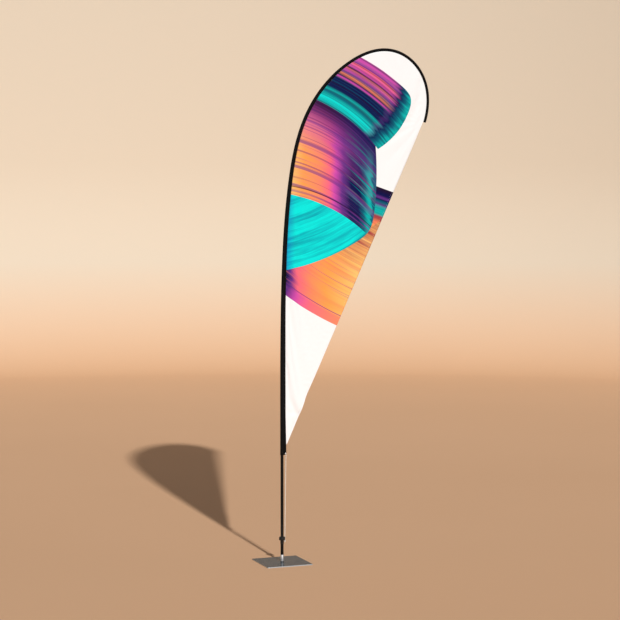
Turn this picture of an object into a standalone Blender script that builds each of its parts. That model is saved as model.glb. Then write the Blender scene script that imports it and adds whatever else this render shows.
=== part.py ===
"""Teardrop flag on a square base plate.

Metres, +Z up. The origin is the middle of the plate's underside, the pole stands on the Z axis, and the
flag lies in the XZ plane with its nose towards +X. A heavy plate carries an axle, a spigot turns on the
axle on a ball bearing, and the pole stands over the spigot. The pole is four sections on three couplers,
bent into an arch by the flag. An elastic cord from a collar on the pole keeps the flag tight.
"""

import math

import bmesh
import bpy
import numpy as np
from mathutils import Vector

# General
GAP = 0.0003  # clearance between pieces that touch or run on each other
MERGE = 0.00005  # welding distance, under the smallest edge
ROUND_SIDES = 24
THIN_SIDES = 16  # thin bent pieces and small holes

# Base plate
PLATE_SIDE = 0.300
PLATE_THICK = 0.006
PLATE_CORNER = 0.006
PLATE_EDGE = 0.0008  # bevel around the rim
PLATE_SEAT_FLOOR = 0.003  # metal left under the axle's blind hole

# Axle, which stands still in the plate
AXLE_RADIUS = 0.004
AXLE_FOOT_RADIUS = 0.007
AXLE_FLANGE_RADIUS = 0.0090
AXLE_FLANGE_THICK = 0.0015
AXLE_SHOULDER = 0.0022  # lifts the bearing above the flange
AXLE_END = 0.0024  # thread that shows above the nut

# Ball bearing
BALL_COUNT = 8
BALL_RADIUS = 0.00135
RACE_HEIGHT = 0.006
INNER_RACE_WALL = 0.0013
OUTER_RACE_WALL = 0.0015
RACE_SPLIT = 0.0023  # between the two races' rims
CAGE_HEIGHT = 0.0046
CAGE_WALL = 0.0011
CIRCLIP_THICK = 0.001
CIRCLIP_BITE = 0.0006  # depth of its groove
CIRCLIP_WIDTH = 0.0016
CIRCLIP_OPENING = 0.006

# Spigot, which turns on the axle and carries the pole
SKIRT_WALL = 0.0013
SKIRT_LIP = 0.0003  # metal below the circlip's groove
SKIRT_HEIGHT = 0.0408
NECK_LENGTH = 0.101
NECK_WALL = 0.0012
NECK_LEAD = 0.0015  # chamfer at the top
BUSH_DEPTH = 0.012
BUSH_FLANGE = 0.0015
WASHER_THICK = 0.0012
NUT_HEIGHT = 0.008
NUT_CLEARANCE = 0.0005  # corner to the pole's bore

# Pole: a line of this length from the floor to the sleeve's nose
POLE_LINE = 4.177
# Share of the line, and how sharply it bends there (turning in radians over the whole line's length)
POLE_BEND = (
    (0.24, 0.0),
    (0.43, 0.34),
    (0.575, 1.12),
    (0.67, 4.65),
    (0.79, 5.3),
    (0.862, 14.9),
    (0.934, 13.5),
    (1.0, 7.3),
)
POLE_JOINTS = (0.263, 0.515, 0.766)  # shares of the line where sections meet
CHORD_TURN = math.radians(6.5)  # bend of one facet
CHORD_LENGTH = 0.9  # longest facet where the pole is straight
SECTION_RADII = (0.0095, 0.0082, 0.0068)  # outer radius of the three tubes, from the bottom
SECTION_WALLS = (0.0015, 0.0014, 0.0012)
TIP_RADII = (0.0044, 0.0038)  # solid rod, lower and upper end
COUPLER_REACH = 0.080  # length inside each section
COUPLER_WALL = 0.0016
COUPLER_RING = 0.003  # shoulder between the two sections
FERRULE_WALL = 0.0006
CAP_WALL = 0.0012
CAP_LENGTH = 0.020

# Fabric sleeve along the pole
SLEEVE_FOOT = 0.681
SLEEVE_CLOTH = 0.0006
SLEEVE_EASE = 0.0006  # air around the pole
SLEEVE_NOSE_BORE = 0.0069
SLEEVE_NOSE_END = 0.006  # layers that close the nose
SLEEVE_ARC_POINTS = 9
SLEEVE_ARC_START = math.radians(60)
SEAM_HALF = 0.0006  # half the thickness where both layers are sewn flat
SEAM_HOLLOW = 0.0003  # half height of the hollow's point
FOOT_TAPER = 0.25  # the foot's wide seam narrows over this length
# Where the two layers meet (as a multiple of the sleeve's outer radius), and the flat seam beyond it
FOOT_POINT = (1.75, 0.0101)
SHAFT_POINT = (1.75, 0.0050)
MIDDLE_POINT = (1.6, 0.0025)
UPPER_POINT = (1.25, 0.0015)
NOSE_POINT = (1.2, 0.0015)

# Flag
FLAG_THICK = 0.0006
FLAG_FOOT = 0.745
FLAG_FOOT_WIDTH = 0.003

# Elastic cord, eyelet and collar
CORD_RADIUS = 0.0022
CORD_EASE = 0.0004
CORD_SAMPLE = 0.010  # longest facet
# Route from the knot behind the eyelet to the knot under the collar: x, y, z and thickness
CORD_ROUTE = (
    (0.0242, 0.0100, 0.6900, 0.8),
    (0.0242, 0.0085, 0.6900, 1.7),
    (0.0242, 0.0060, 0.6900, 1.8),
    (0.0242, 0.0040, 0.6900, 1.0),
    (0.0242, 0.0000, 0.6900, 1.0),
    (0.0242, -0.0032, 0.6892, 1.0),
    (0.0241, -0.0054, 0.6865, 1.0),
    (0.0240, -0.0062, 0.6830, 1.0),
    (0.0237, -0.0060, 0.6600, 1.0),
    (0.0213, -0.0031, 0.4150, 1.0),
    (0.0190, -0.0003, 0.1900, 1.0),
    (0.0188, 0.0000, 0.1640, 1.0),
    (0.0188, 0.0000, 0.1420, 1.0),
    (0.0188, 0.0000, 0.1390, 1.8),
    (0.0188, 0.0000, 0.1360, 1.8),
    (0.0188, 0.0000, 0.1340, 0.8),
)
EYELET_BARREL = 0.0006
EYELET_RIM = 0.0014
EYELET_THICK = 0.0007
COLLAR_FOOT = 0.119
COLLAR_NECK = 0.023
COLLAR_NECK_WALL = 0.0012
COLLAR_FLANGE = 0.019
COLLAR_FLANGE_RADIUS = 0.0190
COLLAR_CHAMFER = 0.001
SCREW_RADIUS = 0.0025
SCREW_SOCKET_RADIUS = 0.0014
SCREW_SOCKET_DEPTH = 0.003
SCREW_SUNK = 0.0007  # below the flange's rim

# Heights and radii that follow from the sizes above
AXLE_FLANGE_TOP = PLATE_THICK + GAP + AXLE_FLANGE_THICK
RACE_SEAT = AXLE_FLANGE_TOP + AXLE_SHOULDER
RACE_FOOT = RACE_SEAT + GAP
RACE_TOP = RACE_FOOT + RACE_HEIGHT
BALL_HEIGHT = RACE_FOOT + RACE_HEIGHT / 2
INNER_BORE = AXLE_RADIUS + GAP
INNER_RIM = INNER_BORE + INNER_RACE_WALL
BALL_PITCH = INNER_RIM + RACE_SPLIT / 2
OUTER_RIM = INNER_RIM + RACE_SPLIT
OUTER_EDGE = OUTER_RIM + OUTER_RACE_WALL
SKIRT_BORE = OUTER_EDGE + GAP
SKIRT_RADIUS = SKIRT_BORE + SKIRT_WALL
SKIRT_FOOT = AXLE_FLANGE_TOP + GAP
CIRCLIP_FOOT = SKIRT_FOOT + SKIRT_LIP + GAP
SHOULDER = SKIRT_FOOT + SKIRT_HEIGHT
NECK_TOP = SHOULDER + NECK_LENGTH
TUBE_BORE = SECTION_RADII[0] - SECTION_WALLS[0]
NECK_RADIUS = TUBE_BORE - GAP
NECK_BORE = NECK_RADIUS - NECK_WALL
BUSH_TOP = NECK_TOP + GAP + BUSH_FLANGE
NUT_FOOT = BUSH_TOP + GAP + WASHER_THICK + GAP
AXLE_TOP = NUT_FOOT + NUT_HEIGHT + AXLE_END
POLE_FOOT = SHOULDER + GAP
JOINTS = [share * POLE_LINE for share in POLE_JOINTS]
POCKET_END = POLE_LINE - SLEEVE_NOSE_END
CAP_END = POCKET_END - GAP
TIP_END = CAP_END - CAP_WALL - GAP
EYELET_BORE = CORD_RADIUS + CORD_EASE
EYELET_OUTER = EYELET_BORE + EYELET_BARREL
EYELET_SPOT = (CORD_ROUTE[4][0], CORD_ROUTE[4][2])
NOTCH_SPOT = CORD_ROUTE[12][0]
COLLAR_BORE = SECTION_RADII[0] + GAP
COLLAR_SHELF = COLLAR_FOOT + COLLAR_NECK
COLLAR_TOP = COLLAR_SHELF + COLLAR_FLANGE


# ---------------------------------------------------------------- helpers


def clear_scene():
    for obj in list(bpy.data.objects):
        bpy.data.objects.remove(obj, do_unlink=True)


def new_collection(name):
    collection = bpy.data.collections.new(name)
    bpy.context.scene.collection.children.link(collection)
    return collection


def new_material(name, colour, roughness, metallic=0.0):
    material = bpy.data.materials.new(name)
    material.use_nodes = True
    shader = material.node_tree.nodes["Principled BSDF"]
    shader.inputs["Base Color"].default_value = (*colour, 1.0)
    shader.inputs["Roughness"].default_value = roughness
    shader.inputs["Metallic"].default_value = metallic
    material.diffuse_color = (*colour, 1.0)
    return material


def new_empty(name, height, parent=None):
    empty = bpy.data.objects.new(name, None)
    empty.location.z = height
    if parent:
        empty.parent = parent
        empty.location.z -= parent.matrix_world.translation.z
    parts.objects.link(empty)
    bpy.context.view_layer.update()
    return empty


def add_part(name, data, material, parent=None, place=(0.0, 0.0, 0.0)):
    """Link a piece at a place given in world coordinates."""
    obj = bpy.data.objects.new(name, data)
    data.materials.append(material)
    parts.objects.link(obj)
    obj.location = place
    if parent:
        obj.parent = parent
        obj.location = Vector(place) - parent.matrix_world.translation
    bpy.context.view_layer.update()
    return obj


def smooth(mesh):
    mesh.shade_smooth()
    mesh.set_sharp_from_angle(angle=math.radians(35))


def turned(name, outline, material, parent=None, height=0.0, hollow=True, sides=ROUND_SIDES):
    """Turn an outline of (radius, height) points about Z. It runs down the outer side first."""
    mesh = bpy.data.meshes.new(name)
    points = [(radius, 0.0, z) for radius, z in outline]
    edges = [(i, i + 1) for i in range(len(points) - 1)]
    if hollow:
        edges.append((len(points) - 1, 0))
    mesh.from_pydata(points, edges, [])
    obj = add_part(name, mesh, material, parent, (0.0, 0.0, height))
    screw = obj.modifiers.new("turn", "SCREW")
    screw.axis = "Z"
    screw.steps = sides
    screw.render_steps = sides
    screw.use_merge_vertices = True
    screw.merge_threshold = MERGE
    screw.use_smooth_shade = True
    return obj


def tube(outer, inner, foot, top):
    """Outline of a plain ring or tube."""
    return [(outer, top), (outer, foot), (inner, foot), (inner, top)]


def cutter_from(bm, name, place=(0.0, 0.0, 0.0), turn=(0.0, 0.0, 0.0)):
    mesh = bpy.data.meshes.new(name)
    bm.to_mesh(mesh)
    bm.free()
    obj = bpy.data.objects.new(name, mesh)
    obj.location = place
    obj.rotation_euler = turn
    obj.hide_render = True
    obj.display_type = "WIRE"
    cutters.objects.link(obj)
    return obj


def round_cutter(name, radius, length, place, turn=(0.0, 0.0, 0.0), sides=ROUND_SIDES):
    bm = bmesh.new()
    bmesh.ops.create_cone(
        bm, cap_ends=True, segments=sides, radius1=radius, radius2=radius, depth=length
    )
    return cutter_from(bm, name, place, turn)


def box_cutter(name, size, place):
    bm = bmesh.new()
    bmesh.ops.create_cube(bm, size=1.0)
    bmesh.ops.scale(bm, vec=size, verts=bm.verts)
    return cutter_from(bm, name, place)


def cut(obj, cutter):
    boolean = obj.modifiers.new("cut " + cutter.name, "BOOLEAN")
    boolean.operation = "DIFFERENCE"
    boolean.solver = "EXACT"
    boolean.object = cutter


# ---------------------------------------------------------------- the bent pole's line


def pole_line():
    """Stations along the bent pole: distance, centre x and z, and the direction of its inner side."""
    fine = np.linspace(0.0, POLE_LINE, 4001)
    shares = [share for share, _ in POLE_BEND]
    turning = [amount / POLE_LINE for _, amount in POLE_BEND]
    bend_here = np.interp(fine / POLE_LINE, shares, turning)
    step = fine[1] - fine[0]
    heading = np.concatenate([[0.0], np.cumsum((bend_here[1:] + bend_here[:-1]) / 2 * step)])
    middle = (heading[1:] + heading[:-1]) / 2
    x = np.concatenate([[0.0], np.cumsum(np.sin(middle) * step)])
    z = np.concatenate([[0.0], np.cumsum(np.cos(middle) * step)])
    facets = heading / CHORD_TURN + fine / CHORD_LENGTH
    count = int(math.ceil(facets[-1]))
    distance = np.interp(np.linspace(0.0, facets[-1], count + 1), facets, fine)
    turned_by = np.interp(distance, fine, heading)
    return {
        "distance": distance,
        "x": np.interp(distance, fine, x),
        "z": np.interp(distance, fine, z),
        "inner_x": np.cos(turned_by),
        "inner_z": -np.sin(turned_by),
    }


LINE = pole_line()


def on_pole(point):
    """Move a point of the straight pole (x, y, distance along it) to its place on the bent one."""
    x, y, distance = point
    centre_x, centre_z, inner_x, inner_z = (
        float(np.interp(distance, LINE["distance"], LINE[key]))
        for key in ("x", "z", "inner_x", "inner_z")
    )
    return Vector((centre_x + inner_x * x, y, centre_z + inner_z * x))


def stations_between(start, end):
    """The line's own stations strictly between two distances."""
    return [float(d) for d in LINE["distance"] if start + 2 * GAP < d < end - 2 * GAP]


def with_stations(outline):
    """Add a point wherever an outline's side crosses one of the line's stations."""
    full = []
    for (r0, z0), (r1, z1) in zip(outline, outline[1:] + outline[:1]):
        full.append((r0, z0))
        crossed = stations_between(min(z0, z1), max(z0, z1))
        if z1 < z0:
            crossed.reverse()
        full += [(r0 + (r1 - r0) * (d - z0) / (z1 - z0), d) for d in crossed]
    return full


def bend(obj):
    """Bend a piece that was made straight up the Z axis along the pole's line."""
    graph = bpy.context.evaluated_depsgraph_get()
    straight = obj.data
    mesh = bpy.data.meshes.new_from_object(obj.evaluated_get(graph))
    shift = obj.matrix_world.translation
    for vertex in mesh.vertices:
        vertex.co = on_pole(vertex.co + shift) - shift
    smooth(mesh)
    obj.modifiers.clear()
    obj.data = mesh
    bpy.data.meshes.remove(straight)
    mesh.name = obj.name
    return obj


# ---------------------------------------------------------------- base


def make_base_plate():
    bm = bmesh.new()
    bmesh.ops.create_cube(bm, size=1.0)
    bmesh.ops.scale(bm, vec=(PLATE_SIDE, PLATE_SIDE, PLATE_THICK), verts=bm.verts)
    upright = [e for e in bm.edges if abs(e.verts[0].co.z - e.verts[1].co.z) > PLATE_THICK / 2]
    bmesh.ops.bevel(
        bm, geom=upright, offset=PLATE_CORNER, segments=4, profile=0.5, affect="EDGES"
    )
    mesh = bpy.data.meshes.new("base_plate")
    bm.to_mesh(mesh)
    bm.free()
    plate = add_part("base_plate", mesh, STEEL_GREY, None, (0.0, 0.0, PLATE_THICK / 2))
    rim = plate.modifiers.new("rim", "BEVEL")
    rim.width = PLATE_EDGE
    rim.segments = 2
    rim.limit_method = "ANGLE"
    rim.angle_limit = math.radians(60)
    depth = PLATE_THICK - PLATE_SEAT_FLOOR
    cut(
        plate,
        round_cutter(
            "axle_seat", AXLE_FOOT_RADIUS + GAP, 2 * depth, (0.0, 0.0, PLATE_THICK)
        ),
    )


def make_axle():
    outline = [
        (0.0, AXLE_TOP),
        (AXLE_RADIUS, AXLE_TOP),
        (AXLE_RADIUS, RACE_SEAT),
        (INNER_RIM - GAP, RACE_SEAT),
        (INNER_RIM - GAP, AXLE_FLANGE_TOP),
        (AXLE_FLANGE_RADIUS, AXLE_FLANGE_TOP),
        (AXLE_FLANGE_RADIUS, PLATE_THICK + GAP),
        (AXLE_FOOT_RADIUS, PLATE_THICK + GAP),
        (AXLE_FOOT_RADIUS, PLATE_SEAT_FLOOR + GAP),
        (0.0, PLATE_SEAT_FLOOR + GAP),
    ]
    turned("axle", outline, BRIGHT_STEEL, hollow=False)


def make_axle_nut():
    bm = bmesh.new()
    corner = TUBE_BORE - NUT_CLEARANCE
    bmesh.ops.create_cone(
        bm, cap_ends=True, segments=6, radius1=corner, radius2=corner, depth=NUT_HEIGHT
    )
    mesh = bpy.data.meshes.new("axle_nut")
    bm.to_mesh(mesh)
    bm.free()
    place = (0.0, 0.0, NUT_FOOT + NUT_HEIGHT / 2)
    nut = add_part("axle_nut", mesh, BRIGHT_STEEL, None, place)
    cut(nut, round_cutter("nut_thread", INNER_BORE, 2 * NUT_HEIGHT, place))
    washer = tube(NECK_RADIUS - GAP, INNER_BORE, 0.0, WASHER_THICK)
    turned("axle_washer", washer, BRIGHT_STEEL, None, BUSH_TOP + GAP)


# ---------------------------------------------------------------- bearing


def groove(rim, side):
    """Arc of a ball groove in a race, from top to bottom. side is -1 on the inner race, 1 on the outer."""
    radius = BALL_RADIUS + GAP
    start = math.acos(abs(rim - BALL_PITCH) / radius)
    angles = [start * k / 2 for k in (2, 1, 0, -1, -2)]
    return [
        (BALL_PITCH + side * radius * math.cos(a), RACE_HEIGHT / 2 + radius * math.sin(a))
        for a in angles
    ]


def make_races():
    inner = [(INNER_RIM, RACE_HEIGHT)]
    inner += groove(INNER_RIM, -1)
    inner += [(INNER_RIM, 0.0), (INNER_BORE, 0.0), (INNER_BORE, RACE_HEIGHT)]
    turned("bearing_inner_ring", inner, BRIGHT_STEEL, None, RACE_FOOT)
    outer = [(OUTER_EDGE, RACE_HEIGHT), (OUTER_EDGE, 0.0), (OUTER_RIM, 0.0)]
    outer += groove(OUTER_RIM, 1)[::-1]
    outer += [(OUTER_RIM, RACE_HEIGHT)]
    turned("bearing_outer_ring", outer, BRIGHT_STEEL, SPIN_AXIS, RACE_FOOT)


def ball_places():
    angles = [2 * math.pi * k / BALL_COUNT for k in range(BALL_COUNT)]
    return [Vector((BALL_PITCH * math.cos(a), BALL_PITCH * math.sin(a), 0.0)) for a in angles]


def make_balls():
    bm = bmesh.new()
    bmesh.ops.create_uvsphere(bm, u_segments=10, v_segments=6, radius=BALL_RADIUS)
    mesh = bpy.data.meshes.new("bearing_ball")
    bm.to_mesh(mesh)
    bm.free()
    mesh.shade_smooth()
    mesh.materials.append(BRIGHT_STEEL)
    for number, spot in enumerate(ball_places(), 1):
        ball = bpy.data.objects.new(f"bearing_ball_{number}", mesh)
        parts.objects.link(ball)
        ball.parent = CAGE_AXIS
        ball.location = spot


def make_cage():
    ring = tube(CAGE_WALL / 2, -CAGE_WALL / 2, -CAGE_HEIGHT / 2, CAGE_HEIGHT / 2)
    outline = [(BALL_PITCH + r, z) for r, z in ring]
    cage = turned("bearing_cage", outline, BRASS, CAGE_AXIS, BALL_HEIGHT)
    bm = bmesh.new()
    for spot in ball_places():
        made = bmesh.ops.create_uvsphere(
            bm, u_segments=10, v_segments=6, radius=BALL_RADIUS + GAP
        )
        bmesh.ops.translate(bm, vec=spot, verts=made["verts"])
    cut(cage, cutter_from(bm, "ball_pockets", (0.0, 0.0, BALL_HEIGHT)))


def make_circlip():
    outer = SKIRT_BORE + CIRCLIP_BITE - GAP
    ring = tube(outer, outer - CIRCLIP_WIDTH, 0.0, CIRCLIP_THICK)
    clip = turned("bearing_circlip", ring, BRIGHT_STEEL, SPIN_AXIS, CIRCLIP_FOOT)
    size = (CIRCLIP_OPENING, 2 * outer, 4 * CIRCLIP_THICK)
    cut(clip, box_cutter("circlip_opening", size, (0.0, -outer, CIRCLIP_FOOT)))


# ---------------------------------------------------------------- spigot


def make_spigot():
    groove_radius = SKIRT_BORE + CIRCLIP_BITE
    groove_foot = SKIRT_FOOT + SKIRT_LIP
    groove_top = CIRCLIP_FOOT + CIRCLIP_THICK + GAP
    ledge = RACE_TOP + GAP
    outline = [
        (NECK_RADIUS - NECK_LEAD / 2, NECK_TOP),
        (NECK_RADIUS, NECK_TOP - NECK_LEAD),
        (NECK_RADIUS, SHOULDER),
        (SKIRT_RADIUS, SHOULDER),
        (SKIRT_RADIUS, SKIRT_FOOT),
        (SKIRT_BORE, SKIRT_FOOT),
        (SKIRT_BORE, groove_foot),
        (groove_radius, groove_foot),
        (groove_radius, groove_top),
        (SKIRT_BORE, groove_top),
        (SKIRT_BORE, ledge),
        (NECK_BORE, ledge),
        (NECK_BORE, NECK_TOP),
    ]
    turned("spigot", outline, BRUSHED_STEEL, SPIN_AXIS)


def make_bush():
    outline = [
        (NECK_RADIUS - GAP, BUSH_TOP),
        (NECK_RADIUS - GAP, NECK_TOP + GAP),
        (NECK_BORE - GAP, NECK_TOP + GAP),
        (NECK_BORE - GAP, NECK_TOP - BUSH_DEPTH),
        (INNER_BORE, NECK_TOP - BUSH_DEPTH),
        (INNER_BORE, BUSH_TOP),
    ]
    turned("spigot_bush", outline, WHITE_NYLON, SPIN_AXIS)


# ---------------------------------------------------------------- pole


def section_bores():
    return [radius - wall for radius, wall in zip(SECTION_RADII, SECTION_WALLS)]


def make_tubes():
    half_ring = COUPLER_RING / 2 + GAP
    feet = [POLE_FOOT, JOINTS[0] + half_ring, JOINTS[1] + half_ring]
    tops = [joint - half_ring for joint in JOINTS]
    for number, bore in enumerate(section_bores()):
        outline = tube(SECTION_RADII[number], bore, feet[number], tops[number])
        name = f"pole_section_{number + 1}"
        lower = number < 2
        material = BLACK_TUBE if lower else BLACK_FIBREGLASS
        sides = ROUND_SIDES if lower else THIN_SIDES
        bend(turned(name, with_stations(outline), material, POLE_SEAT, sides=sides))


def make_tip():
    foot = JOINTS[2] - COUPLER_REACH
    outline = [
        (0.0, TIP_END),
        (TIP_RADII[1], TIP_END),
        (TIP_RADII[0], JOINTS[2]),
        (TIP_RADII[0], foot),
        (0.0, foot),
    ]
    # The closing side runs up the axis, where it gets no stations and no edge.
    stationed = with_stations(outline)
    outer_side = stationed[: stationed.index(outline[-1]) + 1]
    rod = turned(
        "pole_section_4", outer_side, BLACK_FIBREGLASS, POLE_SEAT, hollow=False, sides=THIN_SIDES
    )
    bend(rod)


def make_couplers():
    bores = section_bores()
    for number in range(2):
        joint = JOINTS[number]
        ring_foot = joint - COUPLER_RING / 2
        ring_top = joint + COUPLER_RING / 2
        lower = bores[number] - GAP
        upper = bores[number + 1] - GAP
        bore = upper - COUPLER_WALL
        outline = [
            (upper, joint + COUPLER_REACH),
            (upper, ring_top),
            (SECTION_RADII[number], ring_top),
            (SECTION_RADII[number], ring_foot),
            (lower, ring_foot),
            (lower, joint - COUPLER_REACH),
            (bore, joint - COUPLER_REACH),
            (bore, joint + COUPLER_REACH),
        ]
        name = f"coupler_{number + 1}"
        sides = (ROUND_SIDES, THIN_SIDES)[number]
        bend(turned(name, with_stations(outline), BRIGHT_ALUMINIUM, POLE_SEAT, sides=sides))


def make_ferrule():
    joint = JOINTS[2]
    bore = TIP_RADII[0] + GAP
    outer = section_bores()[2] - GAP
    outline = [
        (bore + FERRULE_WALL, joint + COUPLER_REACH / 2),
        (bore + FERRULE_WALL, joint + COUPLER_RING / 2),
        (SECTION_RADII[2], joint + COUPLER_RING / 2),
        (SECTION_RADII[2], joint - COUPLER_RING / 2),
        (outer, joint - COUPLER_RING / 2),
        (outer, joint - COUPLER_REACH),
        (bore, joint - COUPLER_REACH),
        (bore, joint + COUPLER_REACH / 2),
    ]
    stationed = with_stations(outline)
    bend(turned("tip_ferrule", stationed, BRIGHT_ALUMINIUM, POLE_SEAT, sides=THIN_SIDES))


def make_tip_cap():
    foot = CAP_END - CAP_LENGTH
    share = CAP_LENGTH / (TIP_END - JOINTS[2])
    bore = TIP_RADII[1] + (TIP_RADII[0] - TIP_RADII[1]) * share + GAP
    outline = [
        (0.0, CAP_END),
        (bore + CAP_WALL / 2, CAP_END),
        (bore + CAP_WALL, CAP_END - CAP_WALL),
        (bore + CAP_WALL, foot),
        (bore, foot),
        (bore, CAP_END - CAP_WALL),
        (0.0, CAP_END - CAP_WALL),
    ]
    stationed = with_stations(outline)
    side = stationed[: stationed.index(outline[-1]) + 1]
    bend(turned("tip_cap", side, BLACK_RUBBER, POLE_SEAT, hollow=False, sides=THIN_SIDES))


# ---------------------------------------------------------------- sleeve and flag


def sleeve_keys():
    """Distance, bore radius, point and flat seam at the places that set the sleeve's size."""
    round_off = math.cos(sleeve_arc_step() / 2)
    bores = [(radius + SLEEVE_EASE) / round_off for radius in SECTION_RADII]
    return [
        (SLEEVE_FOOT, bores[0], *FOOT_POINT),
        (SLEEVE_FOOT + FOOT_TAPER, bores[0], *SHAFT_POINT),
        (JOINTS[0], bores[0], *SHAFT_POINT),
        (JOINTS[1], bores[1], *MIDDLE_POINT),
        (JOINTS[2], bores[2], *UPPER_POINT),
        (POLE_LINE, SLEEVE_NOSE_BORE, *NOSE_POINT),
    ]


def sleeve_arc_step():
    return (2 * math.pi - 2 * SLEEVE_ARC_START) / (SLEEVE_ARC_POINTS - 1)


def sleeve_size(distance):
    """Bore radius, the distance from the pole's axis to where the layers meet, and to the seam's edge."""
    keys = sleeve_keys()
    bore, point, seam = (
        float(np.interp(distance, [key[0] for key in keys], [key[i] for key in keys]))
        for i in (1, 2, 3)
    )
    meet = point * (bore + SLEEVE_CLOTH)
    return bore, meet, meet + seam


def pocket_outline(radius, meet, edge, half, distance):
    """One ring of the sleeve: an arc around the pole's outer side, drawn to a flat seam inside."""
    angles = [
        SLEEVE_ARC_START + sleeve_arc_step() * k for k in range(SLEEVE_ARC_POINTS)
    ]
    ring = [(radius * math.cos(a), radius * math.sin(a)) for a in angles]
    ring += [(meet, -half), (edge, -half), (edge, half), (meet, half)]
    return [on_pole((x, y, distance)) for x, y in ring]


def loft(bm, rings):
    """Join rings of as many points each with quads, and return their vertices."""
    made = [[bm.verts.new(point) for point in ring] for ring in rings]
    count = len(made[0])
    for lower, upper in zip(made, made[1:]):
        for i in range(count):
            j = (i + 1) % count
            bm.faces.new((lower[i], lower[j], upper[j], upper[i]))
    return made


def make_sleeve():
    """The pocket is a loft, because its section changes from a wide teardrop to a narrow one."""
    keys = [key[0] for key in sleeve_keys()]
    distances = sorted(
        keys
        + [
            d
            for d in stations_between(SLEEVE_FOOT, POCKET_END)
            if min(abs(d - key) for key in keys) > 2 * SLEEVE_CLOTH
        ]
    )
    outer, inner = [], []
    for distance in distances:
        bore, meet, edge = sleeve_size(distance)
        outer.append(
            pocket_outline(bore + SLEEVE_CLOTH, meet, edge, SEAM_HALF, distance)
        )
        hollow = meet - 2 * SLEEVE_CLOTH
        inside = min(distance, POCKET_END)
        inner.append(
            pocket_outline(bore, hollow, hollow + SEAM_HALF, SEAM_HOLLOW, inside)
        )
    bm = bmesh.new()
    outside = loft(bm, outer)
    inside = loft(bm, inner)
    bm.faces.new(outside[-1])
    bm.faces.new(inside[-1])
    foot = zip(outside[0], inside[0], outside[0][1:] + outside[0][:1], inside[0][1:] + inside[0][:1])
    for a, b, c, d in foot:
        bm.faces.new((a, b, d, c))
    bmesh.ops.recalc_face_normals(bm, faces=bm.faces)
    mesh = bpy.data.meshes.new("pole_sleeve")
    bm.to_mesh(mesh)
    bm.free()
    smooth(mesh)
    sleeve = add_part("pole_sleeve", mesh, BLACK_FABRIC, POLE_SEAT)
    x, z = EYELET_SPOT
    hole = round_cutter(
        "eyelet_hole",
        EYELET_OUTER + GAP,
        20 * SEAM_HALF,
        (x, 0.0, z),
        (math.pi / 2, 0.0, 0.0),
        sides=THIN_SIDES,
    )
    cut(sleeve, hole)


def make_flag():
    """The panel fills the bow between the sleeve's seam and a straight free edge."""
    distances = [FLAG_FOOT, *stations_between(FLAG_FOOT, POLE_LINE), POLE_LINE]
    distances += [key[0] for key in sleeve_keys()[1:-1]]
    outline = []
    for distance in sorted(distances):
        edge = sleeve_size(distance)[2]
        outline.append(on_pole((edge + GAP, 0.0, distance)))
    corner = sleeve_size(FLAG_FOOT)[2] + GAP + FLAG_FOOT_WIDTH
    outline.append(on_pole((corner, 0.0, FLAG_FOOT)))
    curve = bpy.data.curves.new("flag_panel", "CURVE")
    curve.dimensions = "2D"
    curve.fill_mode = "BOTH"
    curve.extrude = FLAG_THICK / 2
    spline = curve.splines.new("POLY")
    spline.points.add(len(outline) - 1)
    for point, place in zip(spline.points, outline):
        point.co = (place.x, place.z, 0.0, 1.0)
    spline.use_cyclic_u = True
    flag = add_part("flag_panel", curve, WHITE_FABRIC, POLE_SEAT)
    flag.rotation_euler.x = math.pi / 2


# ---------------------------------------------------------------- eyelet, cord and collar


def make_eyelet():
    """A two-part eyelet through the sleeve's seam. Its barrel points to the back."""
    cloth = SEAM_HALF + GAP
    rim = EYELET_OUTER + EYELET_RIM
    washer_top = cloth + EYELET_THICK
    flare = EYELET_OUTER + 2 * GAP
    outline = [
        (flare, washer_top + GAP + EYELET_THICK),
        (flare, washer_top + GAP),
        (EYELET_OUTER, washer_top),
        (EYELET_OUTER, -cloth),
        (rim, -cloth),
        (rim, -cloth - EYELET_THICK),
        (EYELET_BORE, -cloth - EYELET_THICK),
        (EYELET_BORE, washer_top + GAP + EYELET_THICK),
    ]
    washer = tube(rim, EYELET_OUTER + GAP, cloth, washer_top)
    x, z = EYELET_SPOT
    for name, shape in (("eyelet", outline), ("eyelet_washer", washer)):
        obj = turned(name, shape, NICKEL, POLE_SEAT, z)
        obj.location.x = x
        obj.rotation_euler.x = -math.pi / 2


def smooth_route(points):
    """A smooth curve through the route's points, with slopes that allow for their uneven spacing."""
    route = np.array(points)
    lengths = np.linalg.norm(np.diff(route[:, :3], axis=0), axis=1)
    slopes = np.diff(route, axis=0) / lengths[:, None]
    share = (lengths[1:] / (lengths[1:] + lengths[:-1]))[:, None]
    middle = slopes[:-1] * share + slopes[1:] * (1 - share)
    tangents = np.vstack([slopes[:1], middle, slopes[-1:]])
    full = []
    for start, end, leave, arrive, length in zip(route, route[1:], tangents, tangents[1:], lengths):
        steps = max(2, math.ceil(length / CORD_SAMPLE))
        for t in np.arange(steps) / steps:
            full.append(
                (2 * t**3 - 3 * t**2 + 1) * start
                + (t**3 - 2 * t**2 + t) * length * leave
                + (3 * t**2 - 2 * t**3) * end
                + (t**3 - t**2) * length * arrive
            )
    full.append(route[-1])
    return full


def make_cord():
    curve = bpy.data.curves.new("elastic_cord", "CURVE")
    curve.dimensions = "3D"
    curve.bevel_depth = CORD_RADIUS
    curve.bevel_resolution = 2
    curve.use_fill_caps = True
    route = smooth_route(CORD_ROUTE)
    spline = curve.splines.new("POLY")
    spline.points.add(len(route) - 1)
    for point, (x, y, z, thickness) in zip(spline.points, route):
        point.co = (x, y, z, 1.0)
        point.radius = thickness
    add_part("elastic_cord", curve, CREAM_CORD, POLE_SEAT)


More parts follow.
